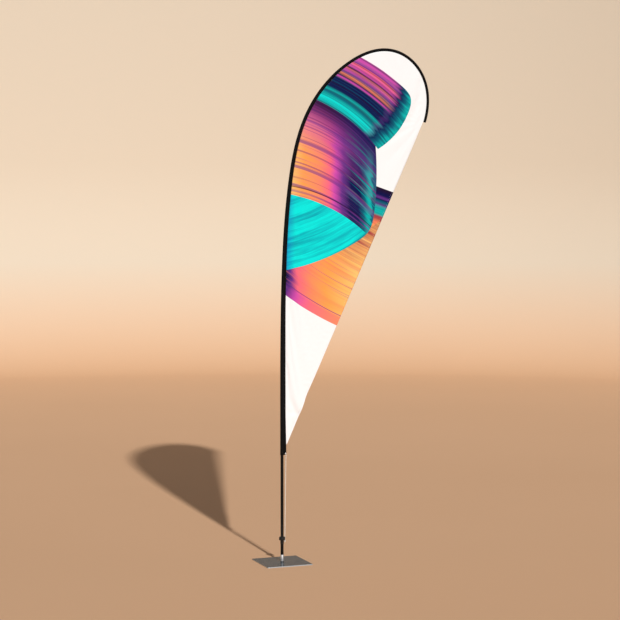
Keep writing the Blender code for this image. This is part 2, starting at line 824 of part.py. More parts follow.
def make_collar():
    neck = COLLAR_BORE + COLLAR_NECK_WALL
    rim = COLLAR_FLANGE_RADIUS
    outline = [
        (rim - COLLAR_CHAMFER, COLLAR_TOP),
        (rim, COLLAR_TOP - COLLAR_CHAMFER),
        (rim, COLLAR_SHELF + COLLAR_CHAMFER),
        (rim - COLLAR_CHAMFER, COLLAR_SHELF),
        (neck, COLLAR_SHELF),
        (neck, COLLAR_FOOT),
        (COLLAR_BORE, COLLAR_FOOT),
        (COLLAR_BORE, COLLAR_TOP),
    ]
    collar = turned("cord_collar", outline, BLACK_PLASTIC, COLLAR_SEAT)
    middle = COLLAR_SHELF + COLLAR_FLANGE / 2
    slot = CORD_RADIUS + CORD_EASE
    through = 2 * COLLAR_FLANGE
    cut(collar, round_cutter("cord_notch_end", slot, through, (NOTCH_SPOT, 0.0, middle), sides=THIN_SIDES))
    mouth = (NOTCH_SPOT + rim / 2, 0.0, middle)
    cut(collar, box_cutter("cord_notch", (rim, 2 * slot * math.cos(math.pi / THIN_SIDES), through), mouth))
    hole = round_cutter(
        "screw_hole",
        SCREW_RADIUS + GAP,
        2 * rim,
        (-rim, 0.0, middle),
        (0.0, math.pi / 2, 0.0),
        sides=THIN_SIDES,
    )
    cut(collar, hole)


def make_collar_screw():
    start = SECTION_RADII[0] + GAP
    end = COLLAR_FLANGE_RADIUS - SCREW_SUNK
    middle = COLLAR_SHELF + COLLAR_FLANGE / 2
    bm = bmesh.new()
    bmesh.ops.create_cone(
        bm,
        cap_ends=True,
        segments=THIN_SIDES,
        radius1=SCREW_RADIUS,
        radius2=SCREW_RADIUS,
        depth=end - start,
    )
    mesh = bpy.data.meshes.new("collar_screw")
    bm.to_mesh(mesh)
    bm.free()
    smooth(mesh)
    place = (-(start + end) / 2, 0.0, middle)
    screw = add_part("collar_screw", mesh, BRIGHT_STEEL, COLLAR_SEAT, place)
    screw.rotation_euler.y = math.pi / 2
    socket = round_cutter(
        "screw_socket",
        SCREW_SOCKET_RADIUS,
        2 * SCREW_SOCKET_DEPTH,
        (-end, 0.0, middle),
        (0.0, math.pi / 2, 0.0),
        sides=6,
    )
    cut(screw, socket)


# ---------------------------------------------------------------- build

clear_scene()
parts = new_collection("teardrop_flag")
cutters = new_collection("cutters")

STEEL_GREY = new_material("plate_steel", (0.16, 0.16, 0.165), 0.5, 0.6)
BRUSHED_STEEL = new_material("spigot_steel", (0.62, 0.62, 0.63), 0.3, 1.0)
BRIGHT_STEEL = new_material("bearing_steel", (0.7, 0.7, 0.72), 0.2, 1.0)
BRASS = new_material("cage_brass", (0.72, 0.52, 0.22), 0.35, 1.0)
WHITE_NYLON = new_material("bush_nylon", (0.8, 0.8, 0.76), 0.5)
BLACK_TUBE = new_material("pole_black", (0.012, 0.012, 0.013), 0.35, 0.4)
BLACK_FIBREGLASS = new_material("fibreglass_black", (0.015, 0.015, 0.016), 0.3)
BRIGHT_ALUMINIUM = new_material("coupler_aluminium", (0.7, 0.71, 0.72), 0.35, 1.0)
BLACK_RUBBER = new_material("cap_rubber", (0.02, 0.02, 0.02), 0.8)
BLACK_FABRIC = new_material("sleeve_fabric", (0.01, 0.01, 0.012), 0.85)
WHITE_FABRIC = new_material("flag_fabric", (0.85, 0.85, 0.86), 0.7)
NICKEL = new_material("eyelet_nickel", (0.75, 0.74, 0.72), 0.2, 1.0)
CREAM_CORD = new_material("cord_elastic", (0.72, 0.66, 0.58), 0.8)
BLACK_PLASTIC = new_material("collar_plastic", (0.015, 0.015, 0.016), 0.45)

SPIN_AXIS = new_empty("spin_axis", SKIRT_FOOT)
CAGE_AXIS = new_empty("cage_axis", BALL_HEIGHT)
POLE_SEAT = new_empty("pole_seat", SHOULDER, SPIN_AXIS)
COLLAR_SEAT = new_empty("collar_seat", COLLAR_FOOT, POLE_SEAT)

make_base_plate()
make_axle()
make_axle_nut()
make_races()
make_balls()
make_cage()
make_circlip()
make_spigot()
make_bush()
make_tubes()
make_tip()
make_couplers()
make_ferrule()
make_tip_cap()
make_sleeve()
make_flag()
make_eyelet()
make_cord()
make_collar()
make_collar_screw()
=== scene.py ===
import math

import bpy
import numpy as np
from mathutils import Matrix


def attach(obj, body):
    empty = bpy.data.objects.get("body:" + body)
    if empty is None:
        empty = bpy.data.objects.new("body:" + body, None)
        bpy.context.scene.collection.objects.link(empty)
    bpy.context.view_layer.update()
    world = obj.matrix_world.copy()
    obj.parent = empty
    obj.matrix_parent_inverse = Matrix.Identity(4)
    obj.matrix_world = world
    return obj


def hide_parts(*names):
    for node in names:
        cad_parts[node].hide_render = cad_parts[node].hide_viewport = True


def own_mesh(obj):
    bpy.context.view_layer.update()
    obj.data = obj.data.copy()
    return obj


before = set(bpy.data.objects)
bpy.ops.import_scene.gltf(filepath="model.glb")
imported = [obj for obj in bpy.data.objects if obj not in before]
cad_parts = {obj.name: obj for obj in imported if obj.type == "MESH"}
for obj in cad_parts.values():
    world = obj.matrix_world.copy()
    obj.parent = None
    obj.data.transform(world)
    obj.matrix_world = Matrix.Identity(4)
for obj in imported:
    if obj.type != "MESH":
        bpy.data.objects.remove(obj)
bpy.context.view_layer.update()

# ---------------------------------------------------------------- camera
# A long lens about ten metres away, a little above the flag's middle and turned to the right.

camera_data = bpy.data.cameras.new("camera")
camera_data.sensor_width = 36.0
camera_data.lens = 100.3
camera_data.clip_end = 200.0
camera = bpy.data.objects.new("camera", camera_data)
camera.location = (-3.744, -10.129, 2.167)
camera.rotation_euler = (math.radians(86.96), 0.0, math.radians(-21.22))
bpy.context.scene.collection.objects.link(camera)
bpy.context.scene.camera = camera
bpy.context.scene.view_settings.view_transform = "Standard"

# ---------------------------------------------------------------- elastic cord
# A round rubber cord under a braided cream cover. It is pulled tight between the eyelet at the sleeve's
# foot and the collar on the pole, and a stopper knot at each end keeps it there.

CORD_RADIUS = 0.0022
CORD_ROUTE = (
    (0.0242, 0.0035, 0.6900),
    (0.0242, 0.0000, 0.6900),
    (0.0242, -0.0032, 0.6892),
    (0.0241, -0.0054, 0.6865),
    (0.0240, -0.0062, 0.6830),
    (0.0237, -0.0060, 0.6600),
    (0.0213, -0.0031, 0.4150),
    (0.0190, -0.0003, 0.1900),
    (0.0188, 0.0000, 0.1640),
    (0.0188, 0.0000, 0.1400),
)
CORD_SIDES = 24
CORD_RING = 0.0006  # between two rings of the mesh
BRAID_STRANDS = 6  # that wind each way
BRAID_PITCH = 0.0023
BRAID_RELIEF = 0.00013
KNOT_STRAND = 0.0017
KNOT_WRAP = 0.0034
KNOT_TURNS = 2.5
KNOT_PITCH = 2.05  # from one turn to the next, in strand radii
KNOT_SIDES = 16
KNOT_TAIL = (0.0004, 0.0045)  # the tail's first and last point, past the winding
KNOT_ABOVE = (0.0242, 0.0026, 0.69)
KNOT_BELOW = (0.0188, 0.0, 0.1415)


def colour(red, green, blue):
    """A display colour from 0 to 255 as the linear colour that a shader takes."""
    linear = [
        c / 12.92 if c <= 0.04045 else ((c + 0.055) / 1.055) ** 2.4
        for c in (red / 255, green / 255, blue / 255)
    ]
    return (*linear, 1.0)


class Signal:
    """An output of one of a finish's nodes. Arithmetic on it adds Math nodes."""

    def __init__(self, finish, socket):
        self.finish = finish
        self.socket = socket

    def math(self, operation, *values):
        return self.finish.node("ShaderNodeMath", {"operation": operation}, dict(enumerate(values)))

    def __add__(self, other):
        return self.math("ADD", self, other)

    def __radd__(self, other):
        return self.math("ADD", other, self)

    def __sub__(self, other):
        return self.math("SUBTRACT", self, other)

    def __rsub__(self, other):
        return self.math("SUBTRACT", other, self)

    def __mul__(self, other):
        return self.math("MULTIPLY", self, other)

    def __rmul__(self, other):
        return self.math("MULTIPLY", other, self)

    def __truediv__(self, other):
        return self.math("DIVIDE", self, other)

    def sine(self):
        return self.math("SINE", self)

    def rest(self):
        """What is left after the whole part."""
        return self.math("FRACT", self)

    def size(self):
        return self.math("ABSOLUTE", self)

    def most(self, other):
        return self.math("MAXIMUM", self, other)

    def soft_least(self, other, blend):
        """The smaller of two, with a rounded change from one to the other."""
        return self.math("SMOOTH_MIN", self, other, blend)

    def ramp(self, low, high):
        """0 below low, 1 above high, and an even slope between."""
        return self.finish.node(
            "ShaderNodeMapRange", {"clamp": True}, {0: self, 1: low, 2: high, 3: 0.0, 4: 1.0}
        )


class Finish:
    """A material, with a few calls that add nodes to it."""

    def __init__(self, name, **sockets):
        self.material = bpy.data.materials.new(name)
        self.material.use_nodes = True
        self.tree = self.material.node_tree
        self.shader = self.tree.nodes["Principled BSDF"]
        for socket, value in sockets.items():
            self.wire(value, self.shader.inputs[socket.replace("_", " ")])

    def wire(self, value, socket):
        if isinstance(value, Signal):
            self.tree.links.new(value.socket, socket)
        else:
            socket.default_value = value

    def node(self, kind, settings, inputs, output=0):
        """Add a node: its settings are made first, then its inputs, by name or number."""
        node = self.tree.nodes.new(kind)
        for key, value in settings.items():
            if key == "stops":
                elements = node.color_ramp.elements
                while len(elements) > 1:
                    elements.remove(elements[-1])
                elements[0].position, elements[0].color = value[0]
                for position, shade in value[1:]:
                    elements.new(position).color = shade
            else:
                setattr(node, key, value)
        for key, value in inputs.items():
            self.wire(value, node.inputs[key])
        return Signal(self, node.outputs[output])

    def where(self, source="Object"):
        """The piece's own coordinates, one signal for each axis. Any other source is a UV map's name."""
        if source == "Object":
            place = self.node("ShaderNodeTexCoord", {}, {}, "Object")
        else:
            place = self.node("ShaderNodeUVMap", {"uv_map": source}, {})
        return [self.node("ShaderNodeSeparateXYZ", {}, {0: place}, axis) for axis in range(3)]

    def noise(self, place, scale=1.0, detail=2.0, roughness=0.5):
        """Cloudy noise from 0 to 1, over the signals that give a place."""
        vector = self.node("ShaderNodeCombineXYZ", {}, dict(enumerate(place)))
        sockets = {"Vector": vector, "Scale": scale, "Detail": detail, "Roughness": roughness}
        return self.node("ShaderNodeTexNoise", {}, sockets)

    def mix(self, share, first, second):
        """A colour between two others."""
        return self.node("ShaderNodeMix", {"data_type": "RGBA"}, {0: share, 6: first, 7: second}, 2)

    def shades(self, position, stops):
        return self.node("ShaderNodeValToRGB", {"stops": stops}, {0: position})

    def show(self, tint=None, roughness=None, metallic=None, height=None, depth=0.001):
        """Send what was worked out to the shader. Height is in the unit that depth gives in metres."""
        for value, socket in ((tint, "Base Color"), (roughness, "Roughness"), (metallic, "Metallic")):
            if value is not None:
                self.wire(value, self.shader.inputs[socket])
        if height is not None:
            sockets = {"Height": height, "Strength": 1.0, "Distance": depth}
            self.wire(self.node("ShaderNodeBump", {}, sockets), self.shader.inputs["Normal"])
        return self.material


def distances_along(points):
    """How far along a line each of its points lies."""
    return np.concatenate([[0.0], np.cumsum(np.linalg.norm(np.diff(points, axis=0), axis=1))])


def points_at(wanted, along, points):
    """Where a line is at the wanted distances along it."""
    return np.stack([np.interp(wanted, along, points[:, axis]) for axis in range(3)], -1)


def smooth_route(points, spacing, steps=60):
    """Points along a smooth curve through the route's own, evenly spaced."""
    route = np.array(points)
    lengths = np.linalg.norm(np.diff(route, axis=0), axis=1)
    slopes = np.diff(route, axis=0) / lengths[:, None]
    share = (lengths[1:] / (lengths[1:] + lengths[:-1]))[:, None]
    middle = slopes[:-1] * share + slopes[1:] * (1 - share)
    tangents = np.vstack([slopes[:1], middle, slopes[-1:]])
    t = np.linspace(0.0, 1.0, steps, endpoint=False)[:, None]
    fine = []
    for start, end, leave, arrive, length in zip(route, route[1:], tangents, tangents[1:], lengths):
        fine.append(
            (2 * t**3 - 3 * t**2 + 1) * start
            + (t**3 - 2 * t**2 + t) * length * leave
            + (3 * t**2 - 2 * t**3) * end
            + (t**3 - t**2) * length * arrive
        )
    fine = np.vstack([*fine, route[-1:]])
    along = distances_along(fine)
    return points_at(np.linspace(0.0, along[-1], int(round(along[-1] / spacing)) + 1), along, fine)


def surface(name, points, faces, uv_name=None, uvs=None):
    """A new mesh piece. UVs are given one for each point, or one for each corner of each face."""
    mesh = bpy.data.meshes.new(name)
    mesh.from_pydata([tuple(p) for p in points], [], [tuple(int(i) for i in f) for f in faces])
    mesh.update()
    if uv_name:
        layer = mesh.uv_layers.new(name=uv_name)
        uvs = np.asarray(uvs, float)
        if len(uvs) != len(mesh.loops):
            corners = np.zeros(len(mesh.loops), np.int32)
            mesh.loops.foreach_get("vertex_index", corners)
            uvs = uvs[corners]
        layer.data.foreach_set("uv", uvs.astype(np.float32).ravel())
    mesh.shade_smooth()
    piece = bpy.data.objects.new(name, mesh)
    bpy.context.scene.collection.objects.link(piece)
    return piece


def loft(turns, heights, first=0):
    """Faces and UVs between closed rings of points. Turns gives each point's UV, and the first one's again
    at the end. Heights gives each ring's."""
    count = len(turns) - 1
    faces, uvs = [], []
    for ring, (low, high) in enumerate(zip(heights, heights[1:])):
        start = first + ring * count
        for k in range(count):
            after = (k + 1) % count
            faces.append((start + k, start + after, start + count + after, start + count + k))
            uvs += [(turns[k], low), (turns[k + 1], low), (turns[k + 1], high), (turns[k], high)]
    return faces, uvs


def strand(name, line, radius, sides, relief=None):
    """A round strand along a line of points. Relief gives each ring's extra radius from turn and distance."""
    line = np.asarray(line, float)
    heading = np.gradient(line, axis=0)
    heading /= np.linalg.norm(heading, axis=1)[:, None]
    along = distances_along(line)
    side = np.cross(heading[0], (0.31, 0.95, 0.02))  # any direction that no strand starts in
    turns = np.linspace(0.0, 1.0, sides + 1)
    angle = 2 * math.pi * turns[:-1]
    points = []
    for centre, forward, distance in zip(line, heading, along):
        side = side - forward * (side @ forward)
        side /= np.linalg.norm(side)
        reach = radius + (relief(turns[:-1], distance) if relief else np.zeros(sides))
        spokes = np.outer(np.cos(angle), side) + np.outer(np.sin(angle), np.cross(forward, side))
        points.append(centre + spokes * reach[:, None])
    faces, uvs = loft(turns, along)
    for ring, order in ((0, -1), (len(line) - 1, 1)):
        faces.append([ring * sides + k for k in range(sides)][::order])
        uvs += [(0.5, along[ring])] * sides
    return surface(name, np.vstack(points), faces, "round", uvs), along[-1]


def braid_relief(turns, distance):
    """How high the cover's strands stand, where one set winds over and under the other."""
    left = turns * BRAID_STRANDS + distance / BRAID_PITCH
    right = turns * BRAID_STRANDS - distance / BRAID_PITCH
    crown_left = np.sin(math.pi * (left % 1.0)) ** 0.7
    crown_right = np.sin(math.pi * (right % 1.0)) ** 0.7
    over = (np.floor(left) + np.floor(right)) % 2 < 1
    return BRAID_RELIEF * (np.where(over, crown_left, crown_right) - 0.6)


def braid_finish():
    """Cream polyester yarn with painted shade between the strands, and a little soiled along its length."""
    finish = Finish("braided_cord", Sheen_Weight=0.25, Sheen_Roughness=0.6)
    turn, along, _ = finish.where("round")
    left = (turn * BRAID_STRANDS + along / BRAID_PITCH).rest()
    right = (turn * BRAID_STRANDS - along / BRAID_PITCH).rest()
    crown = (left * math.pi).sine().most((right * math.pi).sine())
    thread = ((left + right) * 60.0).sine() * 0.5 + 0.5
    soil = finish.noise((turn, along), 24.0, 3.0)
    yarn = finish.mix(soil.ramp(0.35, 0.75), colour(244, 238, 230), colour(226, 216, 202))
    # Painted shade: the cream is darkened where the strands' crowns fall away between them.
    tint = finish.mix(crown.ramp(0.55, 0.9), colour(176, 160, 142), yarn)
    return finish.show(tint, 0.72 + 0.16 * soil, height=crown + 0.2 * thread, depth=0.00012)


def finished(piece, body, material, nodes=()):
    """Give a piece its material, the body it moves with and the nodes that it stands for."""
    piece.data.materials.clear()
    for each in material if isinstance(material, list) else (material,):
        piece.data.materials.append(each)
    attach(piece, body)
    if nodes:
        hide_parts(*nodes)
    return piece


def knot_line(start, direction, side):
    """The cord's end as a stopper knot: out from the middle, wound round itself, and a short tail."""
    start, direction, side = (np.array(v, float) for v in (start, direction, side))
    across = np.cross(direction, side)
    t = np.linspace(0.0, 1.0, 160)
    turn = 2 * math.pi * KNOT_TURNS * t
    opening = np.minimum(1.0, np.minimum(t, 1 - t) * 9.0 + 0.15)
    depth = KNOT_STRAND * (1 + KNOT_PITCH * KNOT_TURNS * t)
    coil = (np.outer(np.cos(turn), side) + np.outer(np.sin(turn), across)) * (KNOT_WRAP * opening)[:, None]
    wound = start + np.outer(depth, direction) + coil
    tail = wound[-1] + np.outer(np.linspace(*KNOT_TAIL, 10), direction)
    return np.vstack([wound, tail])


CREAM_BRAID = braid_finish()
CORD_LINE = smooth_route(CORD_ROUTE, CORD_RING)
elastic_cord, CORD_LENGTH = strand("cord_braid", CORD_LINE, CORD_RADIUS, CORD_SIDES, braid_relief)
finished(elastic_cord, "pole", CREAM_BRAID, ["elastic_cord"])
knot_line_above = knot_line(KNOT_ABOVE, (0, 1, 0), (1, 0, 0))
knot_above, _ = strand("cord_knot_upper", knot_line_above, KNOT_STRAND, KNOT_SIDES)
finished(knot_above, "pole", CREAM_BRAID)
knot_line_below = knot_line(KNOT_BELOW, (0, 0, -1), (0, 1, 0))
knot_below, _ = strand("cord_knot_lower", knot_line_below, KNOT_STRAND, KNOT_SIDES)
finished(knot_below, "collar", CREAM_BRAID)
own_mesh(elastic_cord)

# ---------------------------------------------------------------- base plate
# A square of six millimetre steel, cut by laser, its corners rounded and its rim filed, under a thin coat
# of grey paint. A blind hole in its middle holds the axle.

PLATE_SIDE = 0.300
PLATE_THICK = 0.006
PLATE_CORNER = 0.006
PLATE_RIM = 0.0007  # width of the filed edge
PLATE_HOLE = 0.0073  # radius
PLATE_HOLE_DEPTH = 0.003
WORN_EDGE = (0.0024, 0.0002)  # the paint wears between these distances from the plate's side


def only(piece):
    """Select one piece and nothing else, ready for an operator."""
    if bpy.context.object and bpy.context.object.mode == "EDIT":
        bpy.ops.object.mode_set(mode="OBJECT")
    bpy.ops.object.select_all(action="DESELECT")
    piece.select_set(True)
    bpy.context.view_layer.objects.active = piece


def start_from(adder, name, **options):
    """Add a primitive with nothing else selected, and name it."""
    bpy.ops.object.select_all(action="DESELECT")
    adder(**options)
    piece = bpy.context.object
    piece.name = name
    piece.data.name = name
    return piece


def choose_edges(piece, wanted):
    """Open a piece in edit mode with the edges selected whose two ends pass a test."""
    only(piece)
    mesh = piece.data
    for group in (mesh.vertices, mesh.edges, mesh.polygons):
        group.foreach_set("select", [False] * len(group))
    for edge in mesh.edges:
        edge.select = wanted(*(mesh.vertices[i].co for i in edge.vertices))
    bpy.context.tool_settings.mesh_select_mode = (False, True, False)
    bpy.ops.object.mode_set(mode="EDIT")


def applied(piece, kind, **settings):
    """Add a modifier and apply it at once."""
    only(piece)
    modifier = piece.modifiers.new(kind.lower(), kind)
    for key, value in settings.items():
        setattr(modifier, key, value)
    bpy.ops.object.modifier_apply(modifier=modifier.name)


def rounded(piece, width, segments, angle):
    """Round every edge that is sharper than an angle in degrees."""
    limit = math.radians(angle)
    applied(piece, "BEVEL", width=width, segments=segments, limit_method="ANGLE", angle_limit=limit)


def settled(piece, angle=35):
    """Bake a piece's place into its mesh and shade its curved faces smooth."""
    only(piece)
    bpy.ops.object.transform_apply(location=True, rotation=True, scale=True)
    bpy.ops.object.shade_smooth_by_angle(angle=math.radians(angle))
    return piece


def carved(piece, cutter):
    """Cut one piece's shape out of another."""
    applied(piece, "BOOLEAN", object=cutter, operation="DIFFERENCE", solver="EXACT")
    bpy.data.objects.remove(cutter)


def rod(name, radius, length, centre, turn=(0.0, 0.0, 0.0), sides=32):
    """A plain cylinder, used to cut with or as the start of a piece."""
    size = {"vertices": sides, "radius": radius, "depth": length}
    return start_from(bpy.ops.mesh.primitive_cylinder_add, name, **size, location=centre, rotation=turn)


def plate_finish():
    """Grey paint on rolled steel: fine orange peel, faint rolling lines, bright metal at the worn rim, and
    sides painted a lighter grey as painted light.
    """
    finish = Finish("painted_plate", Specular_IOR_Level=0.03)
    place = finish.where()
    x, y, z = place
    cloud = finish.noise(place, 14.0, 5.0, 0.6)
    grain = finish.noise(place, 900.0)
    rolled = finish.noise((x * 6.0, y * 260.0, z * 260.0), detail=3.0)
    edge = x.size().most(y.size()).ramp(*(PLATE_SIDE / 2 - inset for inset in WORN_EDGE))
    rim = z.ramp(PLATE_THICK - 3 * PLATE_RIM, PLATE_THICK - PLATE_RIM)
    rubbed = (edge * rim + finish.noise(place, 190.0, 4.0) - 1.12).ramp(0.0, 0.12)
    scratch = (finish.noise((x * 22.0, y * 900.0, z)) - 0.74).ramp(0.0, 0.02)
    worn = rubbed.most(scratch * 0.5)
    paint = finish.mix(cloud.ramp(0.3, 0.7), colour(54, 64, 73), colour(47, 56, 64))
    # Painted light: below the top face, the plate's sides take a lighter grey, standing in for the light that
    # the front edge catches.
    paint = finish.mix(rim, colour(172, 178, 182), paint)
    tint = finish.mix(worn, paint, colour(176, 176, 174))
    rough = 0.12 + 0.1 * cloud + 0.06 * rolled + 0.15 * worn
    return finish.show(tint, rough, 0.95 * worn, height=grain * 0.5 + rolled, depth=0.00002)


plate = start_from(bpy.ops.mesh.primitive_cube_add, "plate", size=1.0, location=(0, 0, PLATE_THICK / 2))
plate.scale = (PLATE_SIDE, PLATE_SIDE, PLATE_THICK)
settled(plate)
choose_edges(plate, lambda a, b: abs(a.z - b.z) > PLATE_THICK / 2)
bpy.ops.mesh.bevel(offset=PLATE_CORNER, segments=10, affect="EDGES")
bpy.ops.object.mode_set(mode="OBJECT")
rounded(plate, PLATE_RIM, 3, 60)
carved(plate, rod("plate_hole", PLATE_HOLE, 2 * PLATE_HOLE_DEPTH, (0, 0, PLATE_THICK), sides=48))
finished(settled(plate), "base", plate_finish(), ["base_plate"])

# ---------------------------------------------------------------- axle, bearing and bush
# The axle is turned from bar and stands in the plate. A small ball bearing with a brass cage, a spring
# clip, a nylon bush, a washer and a nut hold the spigot on it. They are inside the spigot.


def deeper(shade, share):
    """A darker shade of a colour."""
    return (*(c * share for c in shade[:3]), 1.0)


def turned_steel(name, shade, roughness, ring=2400.0):
    """Bright steel from the lathe: fine rings round the axis and a few darker stains."""
    finish = Finish(name, Metallic=1.0)
    x, y, z = finish.where()
    square = x * x + y * y
    across = square.math("SQRT", square)
    rings = finish.noise((across * ring, z * ring))
    stain = finish.noise((x, y, z), 60.0, 4.0, 0.6)
    tint = finish.mix(stain.ramp(0.45, 0.8), shade, deeper(shade, 0.72))
    return finish.show(tint, roughness + 0.16 * rings + 0.1 * stain, height=rings, depth=0.00002)


def moulded(name, shade, roughness, grain=1400.0):
    """Moulded nylon, rubber or resin: an even colour, clouded a little, with a fine grain."""
    finish = Finish(name)
    place = finish.where()
    cloud = finish.noise(place, 55.0, 3.0)
    fine = finish.noise(place, grain)
    tint = finish.mix(cloud.ramp(0.3, 0.8), shade, deeper(shade, 0.7))
    return finish.show(tint, roughness + 0.18 * fine, height=fine, depth=0.00005)


def coat(material, *nodes):
    """Put a material on frame nodes that stay as they are."""
    for name in nodes:
        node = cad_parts[name]
        node.data.materials.clear()
        node.data.materials.append(material)


BALLS = [f"bearing_ball_{count}" for count in range(1, 9)]
BRIGHT = turned_steel("bearing_steel", colour(200, 202, 206), 0.16)
coat(BRIGHT, "bearing_inner_ring", "bearing_outer_ring", "bearing_circlip", *BALLS)
coat(turned_steel("axle_steel", colour(176, 178, 182), 0.26), "axle", "axle_nut", "axle_washer")
coat(turned_steel("cage_brass", colour(206, 168, 96), 0.3), "bearing_cage")
coat(moulded("bush_nylon", colour(226, 224, 212), 0.42), "spigot_bush")

# ---------------------------------------------------------------- spigot
# A steel spigot turned in one piece: a skirt over the bearing, a chamfered shoulder that the pole rests
# on, and a neck that goes up inside the pole. It is bright and unpainted, with rings from the lathe.

SKIRT_RADIUS = 0.0110
SKIRT_BORE = 0.0097
SKIRT_FOOT = 0.0081
CLIP_GROOVE = (0.0084, 0.0100, 0.0103)  # foot, top and radius
SKIRT_LEDGE = 0.0166
SHOULDER = 0.0489
NECK_RADIUS = 0.0077
NECK_BORE = 0.0065
NECK_TOP = 0.1499
NECK_LEAD = 0.0015
SKIRT_LINE = (0.0052, 0.0038, 0.0004)  # foot and top below the shoulder, and depth
SPIGOT_EDGE = 0.00015


def lathe(name, outline, sides=64):
    """Turn an outline of (radius, height) round the upright axis, by a ring extruded from point to point."""
    radius, height = outline[0]
    piece = start_from(bpy.ops.mesh.primitive_circle_add, name, vertices=sides, radius=radius)
    bpy.ops.object.mode_set(mode="EDIT")
    bpy.ops.mesh.select_all(action="SELECT")
    bpy.ops.transform.translate(value=(0, 0, height))
    for next_radius, next_height in outline[1:]:
        bpy.ops.mesh.extrude_edges_move(TRANSFORM_OT_translate={"value": (0, 0, next_height - height)})
        if next_radius != radius:
            share = next_radius / radius
            bpy.ops.transform.resize(value=(share, share, 1.0), center_override=(0, 0, next_height))
        radius, height = next_radius, next_height
    bpy.ops.mesh.select_all(action="DESELECT")
    bpy.ops.mesh.select_non_manifold()
    bpy.ops.mesh.bridge_edge_loops()
    bpy.ops.mesh.select_all(action="SELECT")
    bpy.ops.mesh.remove_doubles(threshold=0.00001)
    bpy.ops.mesh.normals_make_consistent(inside=False)
    bpy.ops.object.mode_set(mode="OBJECT")
    return piece


groove_foot, groove_top, groove_radius = CLIP_GROOVE
line_foot, line_top, line_depth = SKIRT_LINE
spigot = lathe(
    "spigot_turned",
    [
        (SKIRT_RADIUS, SKIRT_FOOT),
        (SKIRT_RADIUS, SHOULDER - line_foot),
        (SKIRT_RADIUS - line_depth, SHOULDER - line_foot + line_depth),
        (SKIRT_RADIUS - line_depth, SHOULDER - line_top - line_depth),
        (SKIRT_RADIUS, SHOULDER - line_top),
        (SKIRT_RADIUS, SHOULDER),
        (NECK_RADIUS, SHOULDER),
        (NECK_RADIUS, NECK_TOP - NECK_LEAD),
        (NECK_RADIUS - NECK_LEAD / 2, NECK_TOP),
        (NECK_BORE, NECK_TOP),
        (NECK_BORE, SKIRT_LEDGE),
        (SKIRT_BORE, SKIRT_LEDGE),
        (SKIRT_BORE, groove_top),
        (groove_radius, groove_top),
        (groove_radius, groove_foot),
        (SKIRT_BORE, groove_foot),
        (SKIRT_BORE, SKIRT_FOOT),
    ],
)
rounded(spigot, SPIGOT_EDGE, 2, 40)
SPIGOT_STEEL = turned_steel("spigot_steel", colour(246, 247, 248), 0.44, 1500.0)
finished(settled(spigot), "rotator", SPIGOT_STEEL, ["spigot"])

# ---------------------------------------------------------------- pole
# Three tubes and a tapering rod, plugged into each other over couplers and bent over at the top by the
# sleeve. The lowest tube is drawn aluminium, dyed black. The others stay inside the sleeve.

POLE_LINE = 4.177
POLE_BEND = (
    (0.24, 0.0),
    (0.43, 0.34),
    (0.575, 1.12),
    (0.67, 4.65),
    (0.79, 5.3),
    (0.862, 14.9),
    (0.934, 13.5),
    (1.0, 7.3),
)
TUBE_RADIUS = 0.0095
TUBE_BORE = 0.0080
TUBE_FOOT = 0.0492
TUBE_TOP = 1.0970
TUBE_EDGE = 0.0003
TUBE_RINGS = 48
RUB_FOOT = 0.121  # the collar has rubbed the tube above this height
RUB_TOP = (0.2, 0.3)  # and the marks fade out between these


def pole_line():
    """Distance along the bent pole, its centre x and z, and how far it has turned."""
    fine = np.linspace(0.0, POLE_LINE, 4001)
    shares = [share for share, _ in POLE_BEND]
    turning = [amount / POLE_LINE for _, amount in POLE_BEND]
    bend_here = np.interp(fine / POLE_LINE, shares, turning)
    step = fine[1] - fine[0]
    heading = np.concatenate([[0.0], np.cumsum((bend_here[1:] + bend_here[:-1]) / 2 * step)])
    middle = (heading[1:] + heading[:-1]) / 2
    x = np.concatenate([[0.0], np.cumsum(np.sin(middle) * step)])
    z = np.concatenate([[0.0], np.cumsum(np.cos(middle) * step)])
    return fine, x, z, heading


LINE = pole_line()


def on_pole(points):
    """Move points of the straight pole (x, y, distance along it) to their places on the bent one."""
    points = np.asarray(points, float).reshape(-1, 3)
    fine, line_x, line_z, heading = LINE
    x, z, turned_by = (np.interp(points[:, 2], fine, values) for values in (line_x, line_z, heading))
    x, z = x + np.cos(turned_by) * points[:, 0], z - np.sin(turned_by) * points[:, 0]
    return np.stack([x, points[:, 1], z], 1)


def dyed_tube():
    """Black anodised tube: drawing lines along it, a satin sheen, and rub marks where the collar slides."""
    finish = Finish("black_tube", Specular_IOR_Level=0.2)
    x, y, z = finish.where()
    drawn = finish.noise((x * 1800.0, y * 1800.0, z * 6.0))
    dust = finish.noise((x, y, z), 45.0, 5.0, 0.65)
    ring = finish.noise((x * 60.0, y * 60.0, z * 2600.0))
    rub = z.ramp(RUB_FOOT, RUB_FOOT + 0.01) * (1 - z.ramp(*RUB_TOP)) * (ring - 0.55).ramp(0.0, 0.1)
    tint = finish.mix(dust.ramp(0.4, 0.85), colour(4, 4, 4), colour(15, 14, 14))
    tint = finish.mix(rub * 0.35, tint, colour(96, 96, 98))
    return finish.show(tint, 0.3 + 0.2 * dust + 0.12 * drawn, height=drawn + ring * 0.3, depth=0.00003)


tube_steps = np.linspace(TUBE_FOOT, TUBE_TOP, TUBE_RINGS + 1).tolist()
tube_outside = [(TUBE_RADIUS, height) for height in tube_steps]
tube_inside = [(TUBE_BORE, height) for height in reversed(tube_steps)]
tube = lathe("pole_tube", tube_outside + tube_inside, 48)
rounded(tube, TUBE_EDGE, 2, 60)
settled(tube)
straight = np.zeros(3 * len(tube.data.vertices), np.float32)
tube.data.vertices.foreach_get("co", straight)
tube.data.vertices.foreach_set("co", on_pole(straight).astype(np.float32).ravel())
tube.data.update()
finished(tube, "pole", dyed_tube(), ["pole_section_1"])

